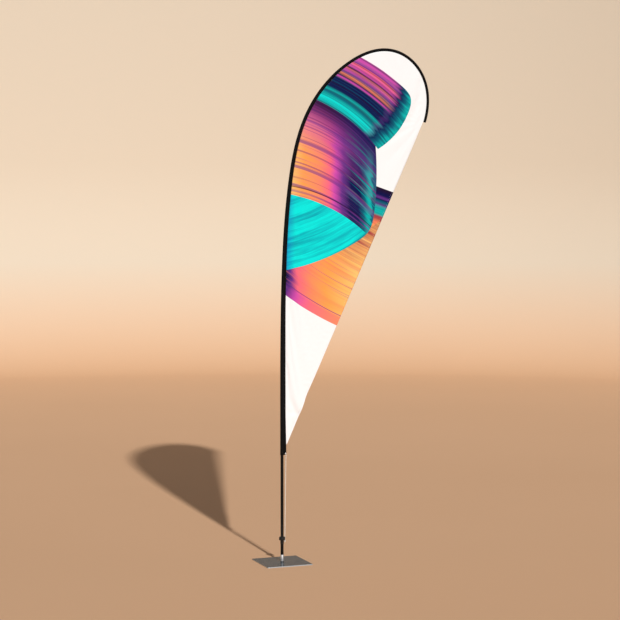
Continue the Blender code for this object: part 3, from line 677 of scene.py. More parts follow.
coat(dyed_tube(), "pole_section_2")
coat(moulded("fibreglass", colour(24, 24, 25), 0.32, 700.0), "pole_section_3", "pole_section_4")
coat(turned_steel("coupler_alloy", colour(188, 190, 194), 0.3), "coupler_1", "coupler_2", "tip_ferrule")
coat(moulded("cap_rubber", colour(30, 30, 30), 0.7), "tip_cap")

# ---------------------------------------------------------------- collar and its screw
# A moulded black collar that is clamped on the pole by a set screw. Its thick rim is fluted for the
# fingers, and a notch in it holds the cord.

COLLAR_FOOT = 0.119
COLLAR_SHELF = 0.142
COLLAR_TOP = 0.161
COLLAR_BORE = 0.0098
COLLAR_NECK_RADIUS = 0.0110
COLLAR_RIM = 0.0190
COLLAR_MIDDLE = (COLLAR_SHELF + COLLAR_TOP) / 2
NOTCH_X = 0.0188
NOTCH_HALF = 0.0026
FLUTE_COUNT = 22
FLUTE_RADIUS = 0.0024
FLUTE_DEPTH = 0.0007
FLUTE_LIMIT = 0.96  # no flutes at the notch and the screw, where the angle's cosine is larger
MOUTH_LENGTH = 0.010  # of the notch's opening, which is a hair narrower than the notch
SCREW_RADIUS = 0.0025
SCREW_SPAN = (0.0098, 0.0183)  # where it starts and ends, from the pole's axis
SCREW_GAP = 0.0003
SIDEWAYS = (0, math.pi / 2, 0)
COLLAR_EDGE = 0.0005
SCREW_EDGE = 0.0003
THROUGH = 0.05  # long enough to cut through the rim
SOCKET_RADIUS = 0.0014
SOCKET_DEPTH = 0.003

collar = lathe(
    "collar_moulded",
    [
        (COLLAR_NECK_RADIUS, COLLAR_FOOT),
        (COLLAR_NECK_RADIUS, COLLAR_SHELF),
        (COLLAR_RIM, COLLAR_SHELF),
        (COLLAR_RIM, COLLAR_TOP),
        (COLLAR_BORE, COLLAR_TOP),
        (COLLAR_BORE, COLLAR_FOOT),
    ],
    96,
)


flute_out = COLLAR_RIM + FLUTE_RADIUS - FLUTE_DEPTH
for flute in range(FLUTE_COUNT):
    angle = 2 * math.pi * (flute + 0.5) / FLUTE_COUNT
    if abs(math.cos(angle)) <= FLUTE_LIMIT:
        centre = (flute_out * math.cos(angle), flute_out * math.sin(angle), COLLAR_MIDDLE)
        carved(collar, rod("flute", FLUTE_RADIUS, THROUGH, centre, sides=20))
carved(collar, rod("notch", NOTCH_HALF, THROUGH, (NOTCH_X, 0, COLLAR_MIDDLE)))
mouth_centre = (NOTCH_X + MOUTH_LENGTH / 2, 0, COLLAR_MIDDLE)
mouth = start_from(bpy.ops.mesh.primitive_cube_add, "mouth", size=1.0, location=mouth_centre)
mouth.scale = (MOUTH_LENGTH, 2 * NOTCH_HALF * 0.99, THROUGH)
carved(collar, mouth)
hole_centre = (-COLLAR_RIM, 0, COLLAR_MIDDLE)
carved(collar, rod("screw_hole", SCREW_RADIUS + SCREW_GAP, 2 * COLLAR_RIM, hole_centre, SIDEWAYS))
rounded(collar, COLLAR_EDGE, 3, 45)
COLLAR_PLASTIC = moulded("collar_plastic", colour(9, 9, 10), 0.5)
finished(settled(collar), "collar", COLLAR_PLASTIC, ["cord_collar"])

screw_start, screw_end = SCREW_SPAN
screw_centre = (-(screw_start + screw_end) / 2, 0, COLLAR_MIDDLE)
screw = rod("set_screw", SCREW_RADIUS, screw_end - screw_start, screw_centre, SIDEWAYS, 40)
settled(screw)
rounded(screw, SCREW_EDGE, 2, 40)
socket_centre = (-screw_end, 0, COLLAR_MIDDLE)
carved(screw, rod("socket", SOCKET_RADIUS, 2 * SOCKET_DEPTH, socket_centre, SIDEWAYS, 6))
finished(settled(screw, 25), "collar", BRIGHT, ["collar_screw"])

# ---------------------------------------------------------------- sleeve
# A strip of black elastic fabric folded round the pole and sewn flat to the flag's edge. It is open and
# hemmed at the foot and closed at the nose, and it is gathered a little where the pole is bent.

SLEEVE_FOOT = 0.681
SLEEVE_NOSE = 4.171
CLOTH = 0.0006
FOOT_HEM = 0.021
FOOT_HEM_RISE = 0.0004
PUCKER = 0.00006  # height on the straight pole
PUCKER_FULL_BEND = 2.5
RIB_PITCH = 0.0011
WEFT_PITCH = 0.0008
NOSE_ROUNDING = ((0.0022, 0.96), (0.0042, 0.8), (0.0056, 0.5))  # past the nose, and the pocket's share there
SECTION_RADII = (0.0095, 0.0082, 0.0068)
SECTION_ENDS = tuple(share * POLE_LINE for share in (0.263, 0.515, 0.766))
EASE = 0.0006
NOSE_BORE = 0.0069
FOOT_TAPER = 0.25
ARC_START = math.radians(60)
ARC_POINTS = 27
FLANK_POINTS = 5
SEAM_HALF = 0.0006
SLEEVE_RING = 0.007
SLEEVE_KEYS = (  # distance, bore, where the layers meet as a share of the radius, width of the flat seam
    (SLEEVE_FOOT, SECTION_RADII[0] + EASE, 1.75, 0.0101),
    (SLEEVE_FOOT + FOOT_TAPER, SECTION_RADII[0] + EASE, 1.75, 0.0050),
    (SECTION_ENDS[0], SECTION_RADII[0] + EASE, 1.75, 0.0050),
    (SECTION_ENDS[1], SECTION_RADII[1] + EASE, 1.6, 0.0025),
    (SECTION_ENDS[2], SECTION_RADII[2] + EASE, 1.25, 0.0015),
    (POLE_LINE, NOSE_BORE, 1.2, 0.0015),
)
ARC_ROUND_OFF = math.cos((2 * math.pi - 2 * ARC_START) / 8 / 2)


def sleeve_size(distance):
    """Bore, the distance from the pole's axis to where the layers meet, and to the seam's edge."""
    keys = np.array(SLEEVE_KEYS)
    bore, share, seam = (np.interp(distance, keys[:, 0], keys[:, i]) for i in (1, 2, 3))
    if distance <= SECTION_ENDS[2]:
        bore = bore / ARC_ROUND_OFF
    meet = share * (bore + CLOTH)
    return bore, meet, meet + seam


def foot_hem(distance):
    """How much thicker the folded hem makes the sleeve's foot."""
    return FOOT_HEM_RISE * (distance < SLEEVE_FOOT + FOOT_HEM)


def pucker(distance, angle):
    """How far the fabric stands off: short creases near the seam, larger where the pole bends more."""
    fine, _, _, heading = LINE
    bend_here = float(np.interp(distance, fine[:-1], np.diff(heading) / np.diff(fine)))
    near_seam = np.clip(np.cos(angle) * 0.8 + 0.35, 0.0, 1.0)
    wave = (
        math.sin(distance * 290.0 + 1.3 * math.sin(distance * 23.0))
        + 0.6 * math.sin(distance * 517.0 + 2.1)
        + 0.7 * math.sin(distance * 131.0 + 0.4)
    )
    roll = 0.5 + 0.5 * np.sin(angle * 2.0 + distance * 61.0)
    height = PUCKER * (1 + 2 * min(bend_here, PUCKER_FULL_BEND))
    return height * near_seam * max(0.0, wave + 0.6) * (0.5 + roll)


def pocket_section(radius, meet, edge, half, distance, folds=0.0, hem=0.0):
    """One ring round the sleeve: an arc over the pole's outer side, two flanks, and the flat seam."""
    angles = np.linspace(ARC_START, 2 * math.pi - ARC_START, ARC_POINTS)
    flank = np.linspace(0.0, 1.0, FLANK_POINTS + 2)[1:-1]
    arc = np.stack([np.cos(angles), np.sin(angles)], 1)
    arc *= (radius + hem + folds * pucker(distance, angles))[:, None]
    below, above = np.array((meet, -half)), np.array((meet, half))
    lift = folds * pucker(distance, np.zeros(1))[0] * np.sin(math.pi * flank)
    low = [arc[-1] + (below - arc[-1]) * t + np.array((0.25, -1.0)) * up for t, up in zip(flank, lift)]
    high = [above + (arc[0] - above) * t + np.array((0.25, 1.0)) * up for t, up in zip(flank, lift)]
    across = [meet, (meet + edge) / 2, edge]
    seam = [(x, -half) for x in across] + [(x, half) for x in reversed(across)]
    ring = np.vstack([arc, low, seam, high])
    return np.column_stack([ring, np.full(len(ring), distance)])


def sleeve_mesh():
    """The sleeve's outside and inside as two lofts, joined at the open foot."""
    steps = int((SLEEVE_NOSE - SLEEVE_FOOT) / SLEEVE_RING)
    outer, inner = [], []
    for distance in np.linspace(SLEEVE_FOOT, SLEEVE_NOSE, steps + 1):
        bore, meet, edge = sleeve_size(distance)
        hem = foot_hem(distance)
        outer.append(pocket_section(bore + CLOTH, meet, edge, SEAM_HALF + hem / 2, distance, 1.0, hem))
        hollow = meet - 2 * CLOTH
        inner.append(pocket_section(bore, hollow, hollow + CLOTH, CLOTH / 2, distance))
    for past, share in NOSE_ROUNDING:
        bore, meet, edge = sleeve_size(POLE_LINE)
        outer.append(pocket_section((bore + CLOTH) * share, meet, edge, SEAM_HALF, SLEEVE_NOSE + past))
    count = len(outer[0])
    turn = distances_along(np.vstack([outer[0], outer[0][:1]]))
    inside = len(outer) * count
    faces, uvs = loft(turn, [ring[0, 2] for ring in outer])
    inner_faces, inner_uvs = loft(turn, [ring[0, 2] for ring in inner], inside)
    faces += [face[::-1] for face in reversed(inner_faces)]
    uvs += inner_uvs[::-1]
    for start, order in ((inside - count, 1), (inside + (len(inner) - 1) * count, -1)):
        faces.append([start + k for k in range(count)][::order])
        uvs += [(0.0, POLE_LINE)] * count
    for k in range(count):
        after = (k + 1) % count
        faces.append((after, k, inside + k, inside + after))
        uvs += [(turn[k + 1], SLEEVE_FOOT)] + [(turn[k], SLEEVE_FOOT)] * 3
    return surface("sleeve", on_pole(np.vstack(outer + inner)), faces, "cloth", uvs)


def woven_black():
    """Black elasticated webbing: fine ribs along its length, crossed by the weft, with a soft sheen and
    painted shade in the hollows of the weave.
    """
    finish = Finish("sleeve_fabric", Specular_IOR_Level=0.16)
    around, along, _ = finish.where("cloth")
    rib = (around * (2 * math.pi / RIB_PITCH)).sine()
    weft = (along * (2 * math.pi / WEFT_PITCH)).sine()
    lint = finish.noise((around, along), 90.0, 4.0, 0.7)
    weave = rib * weft * 0.5 + 0.5
    # Painted shade: the weave's hollows are darker than its raised threads, in patches that follow the lint.
    tint = finish.mix(weave * lint.ramp(0.3, 0.8), colour(3, 3, 3), colour(16, 16, 17))
    return finish.show(tint, 0.7 + 0.25 * lint, height=weave + lint * 0.5, depth=0.0001)


BLACK_WEAVE = woven_black()
sleeve = sleeve_mesh()
finished(sleeve, "pole", BLACK_WEAVE, ["pole_sleeve"])

# Lockstitch in black thread along the flat seam, with a second row where the seam is wide.
STITCH_PITCH = 0.0034
STITCH_LENGTH = 0.0026
STITCH_HALF = 0.00024
STITCH_LIFT = 0.00005
STITCH_PROFILE = (  # share of its length, and its height and width there in half threads
    (0.0, -0.3, 0.35),
    (0.2, 0.75, 0.9),
    (0.8, 0.75, 0.9),
    (1.0, -0.3, 0.35),
)
STITCH_INSET = 0.003
SEAM_ROWS = (  # how far across the seam each row runs, and where it stops
    (0.5, POLE_LINE - 0.012),
    (0.82, SECTION_ENDS[0]),
)


def stitches(name, starts, ends, ups):
    """Short threads from start to end, each arched off the cloth along its up direction."""
    starts, ends, ups = (np.asarray(v, float) for v in (starts, ends, ups))
    along = ends - starts
    along /= np.linalg.norm(along, axis=1)[:, None]
    side = np.cross(ups, along)
    side /= np.linalg.norm(side, axis=1)[:, None]
    points, faces = [], []
    for start, end, up, across in zip(starts, ends, ups, side):
        base = len(points)
        for share, height, width in STITCH_PROFILE:
            centre = start + (end - start) * share + up * (height * STITCH_HALF)
            for a, b in ((-1, 0), (0, -1), (1, 0), (0, 1)):
                points.append(centre + (across * a + up * b) * (width * STITCH_HALF))
        last = len(points) - 4
        faces += loft(range(5), range(len(STITCH_PROFILE)), base)[0]
        faces += [(base + 3, base + 2, base + 1, base), (last, last + 1, last + 2, last + 3)]
    return surface(name, points, faces)


def seam_stitches():
    """Rows of stitches on both faces of the sleeve's flat seam."""
    starts, ends, ups = [], [], []
    for share, stop in SEAM_ROWS:
        for distance in np.arange(SLEEVE_FOOT + STITCH_INSET, stop, STITCH_PITCH):
            _, meet, edge = sleeve_size(distance)
            x = meet + (edge - meet) * share
            for side in (-1, 1):
                y = side * (SEAM_HALF + foot_hem(distance) / 2 + STITCH_LIFT)
                starts.append((x, y, distance))
                ends.append((x, y, distance + STITCH_LENGTH))
                ups.append((0, side, 0))
    return stitches("sleeve_stitching", on_pole(starts), on_pole(ends), ups)


def thread(name, shade):
    """Twisted sewing thread with a slight shine, and painted shade in the grooves of the twist."""
    finish = Finish(name, Sheen_Weight=0.2)
    x, y, z = finish.where()
    twist = ((x + y + z) * 9000.0).sine() * 0.5 + 0.5
    # Painted shade: the thread is darker where the twist's grooves lie.
    tint = finish.mix(twist, deeper(shade, 0.55), shade)
    return finish.show(tint, 0.45 + 0.2 * twist, height=twist, depth=0.00005)


sleeve_thread = seam_stitches()
finished(sleeve_thread, "pole", thread("black_thread", colour(38, 38, 41)))

# ---------------------------------------------------------------- eyelet
# A two-part nickel eyelet pressed through the sleeve's flat seam: a rolled brim in front, and a back ring
# that the barrel is flared over.

EYELET_X = 0.0242
EYELET_Z = 0.690
EYELET_BORE = 0.0026
EYELET_BARREL = 0.0032
EYELET_RIM = 0.0046
EYELET_FACE = 0.0009
EYELET_THICK = 0.0007

eyelet = lathe(
    "eyelet_brim",
    [
        (EYELET_BORE, EYELET_FACE + EYELET_THICK * 0.5),
        (EYELET_BORE + 0.0003, EYELET_FACE + EYELET_THICK),
        (EYELET_BARREL + 0.0003, EYELET_FACE + EYELET_THICK * 1.25),
        (EYELET_RIM - 0.0004, EYELET_FACE + EYELET_THICK),
        (EYELET_RIM, EYELET_FACE + EYELET_THICK * 0.4),
        (EYELET_RIM - 0.0002, EYELET_FACE),
        (EYELET_BARREL, EYELET_FACE),
        (EYELET_BARREL, -EYELET_FACE - 0.0008),
        (EYELET_BARREL + 0.0006, -EYELET_FACE - 0.0010),
        (EYELET_BARREL + 0.0005, -EYELET_FACE - 0.0014),
        (EYELET_BORE + 0.0001, -EYELET_FACE - 0.0013),
        (EYELET_BORE, -EYELET_FACE - 0.0008),
    ],
    48,
)
eyelet_ring = lathe(
    "eyelet_back_ring",
    [
        (EYELET_BARREL + 0.0003, -EYELET_FACE),
        (EYELET_RIM - 0.0001, -EYELET_FACE),
        (EYELET_RIM, -EYELET_FACE - 0.0003),
        (EYELET_RIM - 0.0004, -EYELET_FACE - 0.0007),
        (EYELET_BARREL + 0.0003, -EYELET_FACE - 0.0008),
    ],
    48,
)
NICKEL = turned_steel("eyelet_nickel", colour(246, 245, 242), 0.4, 3200.0)
for piece, node in ((eyelet, "eyelet"), (eyelet_ring, "eyelet_washer")):
    piece.rotation_euler = (math.pi / 2, 0.0, 0.0)
    piece.location = (EYELET_X, 0.0, EYELET_Z)
    finished(settled(piece, 50), "pole", NICKEL, [node])

# ---------------------------------------------------------------- flag
# One panel of knitted polyester, printed from the front, sewn to the sleeve along the bow and hemmed along
# its straight free edge. The bent pole keeps it stretched, so it has only shallow folds.

FLAG_THICK = 0.0006
FLAG_FOOT = 0.745
FLAG_FOOT_WIDTH = 0.003
SEAM_GAP = 0.0003
FLAG_NOSE = POLE_LINE - 0.0006
FLAG_NOSE_WIDTH = 0.0008
FLAG_ROWS = 170
FLAG_COLUMNS = 44
ROW_SPREAD = 0.65  # how much closer the free edge's rows lie towards the nose
NOSE_FAN = 0.0026  # heights of the folds
FOOT_FAN = 0.0030
EDGE_ROLL = 0.0060
BELLY = 0.0050
RIPPLE = 0.0012
FOLD_CAP = 0.011
HANGING_STEPS = 30
FOOT_ROWS_HELD = 10
NOSE_ROWS_HELD = 14
CLOTH_FEEL = {
    "quality": 6,
    "mass": 0.05,
    "tension_stiffness": 30.0,
    "compression_stiffness": 30.0,
    "shear_stiffness": 15.0,
    "bending_stiffness": 1.2,
    "air_damping": 6.0,
    "vertex_group_mass": "held",
    "shrink_min": -0.0012,
}
HEM_STEPS = (0.014, 0.010, 0.006, 0.002, 0.0)  # from the hem's inner edge to the fold
HEM_END_ROWS = 12
HEM_STITCH = 0.011
HEM_GAP = 0.00005
KNIT_PITCH = (0.0012, 0.0010)


def flag_grid():
    """Rows of points from the sleeve's seam to the straight free edge, flat in the flag's plane."""
    def beyond_seam(distance, width):
        return (sleeve_size(distance)[2] + SEAM_GAP + width, 0.0, distance)

    share = np.linspace(0.0, 1.0, FLAG_ROWS + 1)
    seam = on_pole([beyond_seam(d, 0.0) for d in FLAG_FOOT + (FLAG_NOSE - FLAG_FOOT) * share])
    corner, nose = on_pole([beyond_seam(FLAG_FOOT, FLAG_FOOT_WIDTH), beyond_seam(FLAG_NOSE, FLAG_NOSE_WIDTH)])
    free = corner + (nose - corner) * (share + ROW_SPREAD * share * (1 - share))[:, None]
    across = np.linspace(0.0, 1.0, FLAG_COLUMNS + 1)[None, :, None]
    return seam[:, None, :] * (1 - across) + free[:, None, :] * across


def folds(grid):
    """Shallow folds: pulls that fan out from the nose and the foot, and a slack roll along the free edge."""
    x, z = grid[..., 0], grid[..., 2]
    corner, nose = grid[0, -1], grid[-1, -1]
    across = np.linspace(0.0, 1.0, grid.shape[1])[None, :]
    up = np.linspace(0.0, 1.0, grid.shape[0])[:, None]
    from_nose = np.hypot(x - nose[0], z - nose[2])
    angle_nose = np.arctan2(nose[2] - z, nose[0] - x)
    from_foot = np.hypot(x - corner[0], z - corner[2])
    angle_foot = np.arctan2(z - corner[2], x - corner[0])
    held = np.sin(math.pi * np.clip(across, 0, 1) * 0.5) ** 1.2
    calm = np.clip(from_nose / 0.25, 0, 1) * np.clip(from_foot / 0.35, 0, 1)
    nose_fan = NOSE_FAN * np.sin(angle_nose * 17.0 + 0.6) * np.exp(-from_nose / 0.9)
    foot_fan = FOOT_FAN * np.sin(angle_foot * 21.0 + 1.7) * np.exp(-from_foot / 0.8)
    roll = EDGE_ROLL * np.sin(up * math.pi) * across**3 * np.sin(up * 9.0 + 0.8)
    belly = BELLY * np.sin(across * math.pi) * np.sin(up * math.pi) ** 0.8
    shallow = RIPPLE * (np.sin(x * 13.0 - z * 9.0 + 1.1) + 0.75 * np.sin(x * 21.0 + z * 14.0))
    return (nose_fan + foot_fan + roll + belly + shallow) * held * calm


def grid_faces(rows, columns):
    """The number of each of a grid's points, and the faces between them."""
    number = np.arange(rows * columns).reshape(rows, columns)
    corners = [number[:-1, :-1], number[:-1, 1:], number[1:, 1:], number[1:, :-1]]
    return number, np.stack(corners, -1).reshape(-1, 4)


def weigh_down(grid):
    """Let the cloth's own weight and slack set the folds, with its sewn edge and its two corners held."""
    rows, columns = grid.shape[:2]
    number, quads = grid_faces(rows, columns)
    sheet = surface("hanging_cloth", grid.reshape(-1, 3), quads)
    fixed = np.zeros((rows, columns), bool)
    fixed[:, 0] = fixed[:FOOT_ROWS_HELD] = fixed[-NOSE_ROWS_HELD:] = True
    sheet.vertex_groups.new(name="held").add(number[fixed].tolist(), 1.0, "REPLACE")
    cloth = sheet.modifiers.new("cloth", "CLOTH")
    for key, value in CLOTH_FEEL.items():
        setattr(cloth.settings, key, value)
    cloth.collision_settings.use_collision = False
    cloth.point_cache.frame_start = 1
    cloth.point_cache.frame_end = HANGING_STEPS
    for step in range(1, HANGING_STEPS + 1):
        bpy.context.scene.frame_set(step)
    hung = np.zeros(3 * rows * columns, np.float32)
    sheet.evaluated_get(bpy.context.evaluated_depsgraph_get()).data.vertices.foreach_get("co", hung)
    bpy.data.objects.remove(sheet)
    bpy.context.scene.frame_set(1)
    return hung.reshape(rows, columns, 3).astype(float)


def finer(grid):
    """Twice as many rows and columns, on a smooth curve through the points."""
    for axis in (0, 1):
        points = np.moveaxis(grid, axis, 0)
        ends = np.concatenate([2 * points[:1] - points[1:2], points, 2 * points[-1:] - points[-2:-1]])
        middle = (9 * (ends[1:-2] + ends[2:-1]) - ends[:-3] - ends[3:]) / 16
        full = np.empty((2 * len(points) - 1, *points.shape[1:]))
        full[::2], full[1::2] = points, middle
        grid = np.moveaxis(full, 0, axis)
    return grid


def grid_normals(grid):
    """Unit normals of a grid of points, towards the flag's front."""
    along, across = np.gradient(grid, axis=0), np.gradient(grid, axis=1)
    normals = np.cross(across, along)
    normals /= np.maximum(np.linalg.norm(normals, axis=2), 1e-12)[..., None]
    return np.where(normals[..., 1:2] > 0, -normals, normals)


def cloth_shell(name, grid, flat, front, back):
    """A closed sheet: the grid's front and back faces at two heights, with a rim between them."""
    normals = grid_normals(grid)
    number, quads = grid_faces(*grid.shape[:2])
    rim = np.concatenate([number[0, :-1], number[:-1, -1], number[-1, :0:-1], number[:0:-1, 0]])
    following = np.roll(rim, -1)
    sides = np.stack([following, rim, rim + number.size, following + number.size], 1)
    points = np.concatenate([(grid + normals * height).reshape(-1, 3) for height in (front, back)])
    uvs = np.concatenate([flat.reshape(-1, 3)[:, [0, 2]]] * 2)
    faces = np.concatenate([quads, quads[:, ::-1] + number.size, sides])
    piece = surface(name, points, faces, "flat", uvs)
    piece.data.polygons.foreach_set("material_index", [0] * len(quads) + [1] * (len(quads) + len(sides)))
    return piece


def straight_line(x, z, start, end, bow=0.0, past=0.3):
    """Metres across a line, positive on its left, and the share of the way along it. Bow bends it, and the
    bend goes on for a share of the length past its ends."""
    run, rise = end[0] - start[0], end[1] - start[1]
    length = math.hypot(run, rise)
    along = ((x - start[0]) * run + (z - start[1]) * rise) / length**2
    across = ((z - start[1]) * run - (x - start[0]) * rise) / length
    if bow:
        held = along.ramp(-past, 1 + past) * (1 + 2 * past) - past
        across = across - held * (1 - held) * (4 * bow)
    return across, along


INK = {
    name: colour(*shade)
    for name, shade in {
        "white": (246, 246, 246),
        "navy": (0, 8, 74),
        "violet": (98, 46, 132),
        "magenta": (206, 76, 172),
        "rose": (250, 108, 126),
        "coral": (252, 140, 96),
        "orange": (255, 162, 78),
        "amber": (255, 198, 112),
        "teal": (0, 176, 172),
        "turquoise": (0, 232, 224),
        "plum": (28, 4, 44),
        "petrol": (0, 92, 116),
        "brick": (158, 52, 66),
        "ember": (240, 120, 90),
        "lagoon": (0, 152, 172),
        "reef": (0, 128, 150),
        "sky": (20, 110, 190),
        "mulberry": (120, 40, 110),
        "deep_sea": (0, 70, 96),
    }.items()
}


def print_bands(finish, x, z):
    """The printed design: five overlapping bands of fine streaks, drawn from the lowest to the topmost."""

    def inside(*edges):
        """1 where every edge distance is positive, with a crisp printed border."""
        mask = edges[0].ramp(-0.0007, 0.0007)
        for edge in edges[1:]:
            mask = mask * edge.ramp(-0.0007, 0.0007)
        return mask

    def streaks(along, across, fineness, seed, low, high, length=0.35):
        place = (along * length + seed, across * fineness, seed)
        return finish.noise(place, 1.0, 3.0, 0.6).ramp(low, high)

    def wander(along, across, amount, seed):
        return (finish.noise((along * 0.7 + seed, across * 26.0, seed)) - 0.5) * amount

    def blend(position, *stops):
        """Inks that change from one to the next, each at its place."""
        return finish.shades(position, [(place, INK[ink]) for place, ink in stops])

    def over(tint, *layers):
        """A tint with further inks over it, each by its share."""
        for share, ink in layers:
            tint = finish.mix(share, tint, INK[ink] if isinstance(ink, str) else ink)
        return tint

    # Stub: short level stripes at the free edge, from navy through teal to orange.
    top, _ = straight_line(x, z, (0.56, 2.400), (0.80, 2.322))
    level = (2.36 - z) - (x - 0.64) * 0.33
    stripe = blend(
        (level + wander(x, level, 0.05, 3.1)) * 3.4,
        (0.0, "plum"), (0.12, "navy"), (0.17, "violet"), (0.2, "navy"), (0.3, "petrol"), (0.34, "violet"),
        (0.4, "teal"), (0.55, "teal"), (0.62, "brick"), (0.78, "coral"), (0.92, "orange"),
    )
    stripe = over(stripe, (streaks(x * 2.0, level, 120.0, 5.0, 0.5, 0.75) * 0.45, "plum"))
    stub_foot, _ = straight_line(x, z, (0.40, 1.93), (0.80, 2.05))
    tint = over(INK["white"], (inside(0 - top, x - 0.55, stub_foot), stripe))

    # Tail: a warm band that falls to the right, violet at the sleeve and amber at the free edge.
    tail_top, _ = straight_line(x, z, (0.02, 1.850), (0.62, 2.120), -0.030)
    tail_foot, along = straight_line(x, z, (0.02, 1.690), (0.42, 1.470), -0.012)
    warm = blend(
        (x - 0.03) / 0.5 + wander(along, tail_foot, 0.16, 7.7),
        (0.0, "navy"), (0.06, "violet"), (0.17, "rose"), (0.34, "coral"), (0.55, "orange"), (0.95, "amber"),
    )
    low_band = blend(along, (0.0, "violet"), (0.15, "magenta"), (0.4, "rose"), (1.0, "coral"))
    line = ((tail_foot - 0.066).size() * -1).ramp(-0.0035, -0.0010)
    under = tail_top.ramp(-0.22, -0.02) * x.ramp(0.30, 0.52)
    warm = over(
        warm,
        (streaks(along, tail_foot, 60.0, 9.0, 0.50, 0.68) * 0.55, "ember"),
        (streaks(along, tail_foot, 110.0, 67.0, 0.56, 0.66) * 0.4, "violet"),
        (tail_foot.ramp(0.070, 0.052) * 0.9, low_band),
        (line * 0.85, "violet"),
        (under * streaks(along, tail_foot, 34.0, 61.0, 0.3, 0.62), "brick"),
    )
    tint = over(tint, (inside(0 - tail_top, tail_foot), warm))

    # Wedge: a turquoise band whose streaks rise to the right.
    wedge_foot, along = straight_line(x, z, (0.02, 1.842), (0.61, 2.085), -0.036)
    body_right, _ = straight_line(x, z, (0.598, 2.03), (0.636, 2.64), -0.024)
    nose = wedge_foot.soft_least(body_right, 0.09)
    cool = over(
        INK["turquoise"],
        (streaks(along, wedge_foot, 30.0, 11.0, 0.44, 0.66, 1.3) * 0.85, "lagoon"),
        (streaks(along, wedge_foot, 130.0, 12.0, 0.50, 0.72, 0.8) * 0.35, "reef"),
        ((x - 0.02).ramp(0.07, 0.0) * 0.8, "sky"),
        (body_right.ramp(0.11, 0.0) * 0.8, "teal"),
        (nose.ramp(0.014, 0.002) * x.ramp(0.2, 0.5) * 0.7, "petrol"),
    )
    tint = over(tint, (inside(nose, 2.32 - z), cool))

    # Body: the tall band, warm at the sleeve and navy and teal where it turns away at the right.
    crest_foot, foot_along = straight_line(x, z, (0.19, 2.925), (0.66, 2.600), 0.040)
    body_foot, _ = straight_line(x, z, (0.02, 2.322), (0.61, 2.040), 0.052)
    height = body_foot / (body_foot - crest_foot)
    body = blend(
        (x - 0.05) / 0.57 + wander(x, height * 0.6, 0.11, 17.0) - (z - 2.3) * 0.06,
        (0.0, "amber"), (0.16, "orange"), (0.36, "coral"), (0.47, "rose"), (0.54, "magenta"),
        (0.63, "violet"), (0.73, "navy"), (0.84, "navy"), (0.90, "petrol"), (0.95, "teal"),
        (0.98, "teal"), (1.02, "petrol"),
    )
    dusk = over(INK["magenta"], ((x - 0.15).ramp(0.0, 0.4), "violet"))
    hair = over(INK["magenta"], (x.ramp(0.3, 0.55), "petrol"))
    body = over(
        body,
        ((z + x * 0.50).ramp(2.66, 2.98), dusk),
        (streaks(x, height, 15.0, 21.0, 0.54, 0.60) * 0.65, "violet"),
        (streaks(x, height, 34.0, 47.0, 0.55, 0.61) * 0.6, "mulberry"),
        (streaks(x, height, 90.0, 23.0, 0.50, 0.68) * 0.3, hair),
        (streaks(x, height, 40.0, 29.0, 0.54, 0.66, 1.6) * x.ramp(0.42, 0.55) * 0.7, "teal"),
        (((body_foot - 0.055).size() * -1).ramp(-0.005, -0.0015) * 0.8, "plum"),
    )
    body_mask = inside(body_foot, body_right, nose, 0.04 - crest_foot)
    tint = over(tint, (body_mask, body))

    # Crest: the topmost band, which falls to the right and curls round.
    crest_top, _ = straight_line(x, z, (0.46, 3.215), (0.885, 2.955), 0.022)
    curl, _ = straight_line(x, z, (0.610, 2.585), (0.900, 2.960), -0.060)
    near_curl = curl.ramp(0.24, 0.0)
    depth = crest_foot / (crest_foot - crest_top)
    depth = depth + wander(foot_along, depth * 0.4, 0.07, 31.0)
    crest = blend(
        depth,
        (0.0, "teal"), (0.10, "turquoise"), (0.17, "teal"), (0.22, "petrol"), (0.27, "teal"), (0.31, "navy"),
        (0.52, "navy"), (0.55, "magenta"), (0.575, "navy"), (0.62, "coral"), (0.64, "violet"),
        (0.70, "magenta"), (0.73, "rose"), (0.76, "plum"), (0.79, "magenta"), (0.86, "rose"),
        (0.88, "violet"), (0.91, "magenta"), (1.0, "magenta"),
    )
    turned = near_curl + (streaks(foot_along, depth, 34.0, 59.0, 0.3, 0.7) - 0.5) * 0.16
    curled = blend(turned, (0.40, "violet"), (0.60, "navy"), (0.76, "petrol"), (0.92, "teal"))
    crest = over(
        crest,
        (streaks(foot_along, depth, 22.0, 37.0, 0.50, 0.62) * 0.55, "plum"),
        (streaks(foot_along, depth, 46.0, 53.0, 0.50, 0.60) * 0.5, "petrol"),
        (turned.ramp(0.34, 0.62), curled),
        (streaks(foot_along, depth, 40.0, 41.0, 0.48, 0.60) * near_curl * 0.6, "deep_sea"),
    )
    crest_mask = inside(crest_foot, (0 - crest_top).soft_least(curl, 0.10))

    # The crest's shadow on the body.
    shadow = crest_foot.ramp(-0.15, 0.0) * (1 - crest_mask) * body_mask
    fine = streaks(foot_along, crest_foot, 110.0, 43.0, 0.45, 0.7) * 0.4
    shaded = over(INK["plum"], (x.ramp(0.3, 0.5), "navy"), (fine, "violet"))
    return over(tint, (shadow.ramp(0.0, 0.85) * 0.95, shaded), (crest_mask, crest))


def printed_cloth(name, paler):
    """Knitted polyester under the print. The back shows the same design, a little paler."""
    finish = Finish(name, Specular_IOR_Level=0.12)
    x, z, _ = finish.where("flat")
    tint = print_bands(finish, x, z)
    if paler:
        tint = finish.mix(paler, tint, INK["white"])
    course, wale = (2 * math.pi / pitch for pitch in KNIT_PITCH)
    knit = (x * course).sine() * (z * wale).sine() * 0.5 + 0.5
    slub = finish.noise((x * 40.0, z * 700.0), detail=3.0)
    tint = finish.mix(knit * 0.04 + slub * 0.04, tint, colour(0, 0, 0))
    return finish.show(tint, 0.62 + 0.2 * slub, height=knit + slub * 0.4, depth=0.00012)


def from_edge(grid, distance):
    """The point of each row that lies a distance in from the free edge, or at the row's start."""
    return np.array([points_at(distance, distances_along(row), row) for row in grid[:, ::-1]])


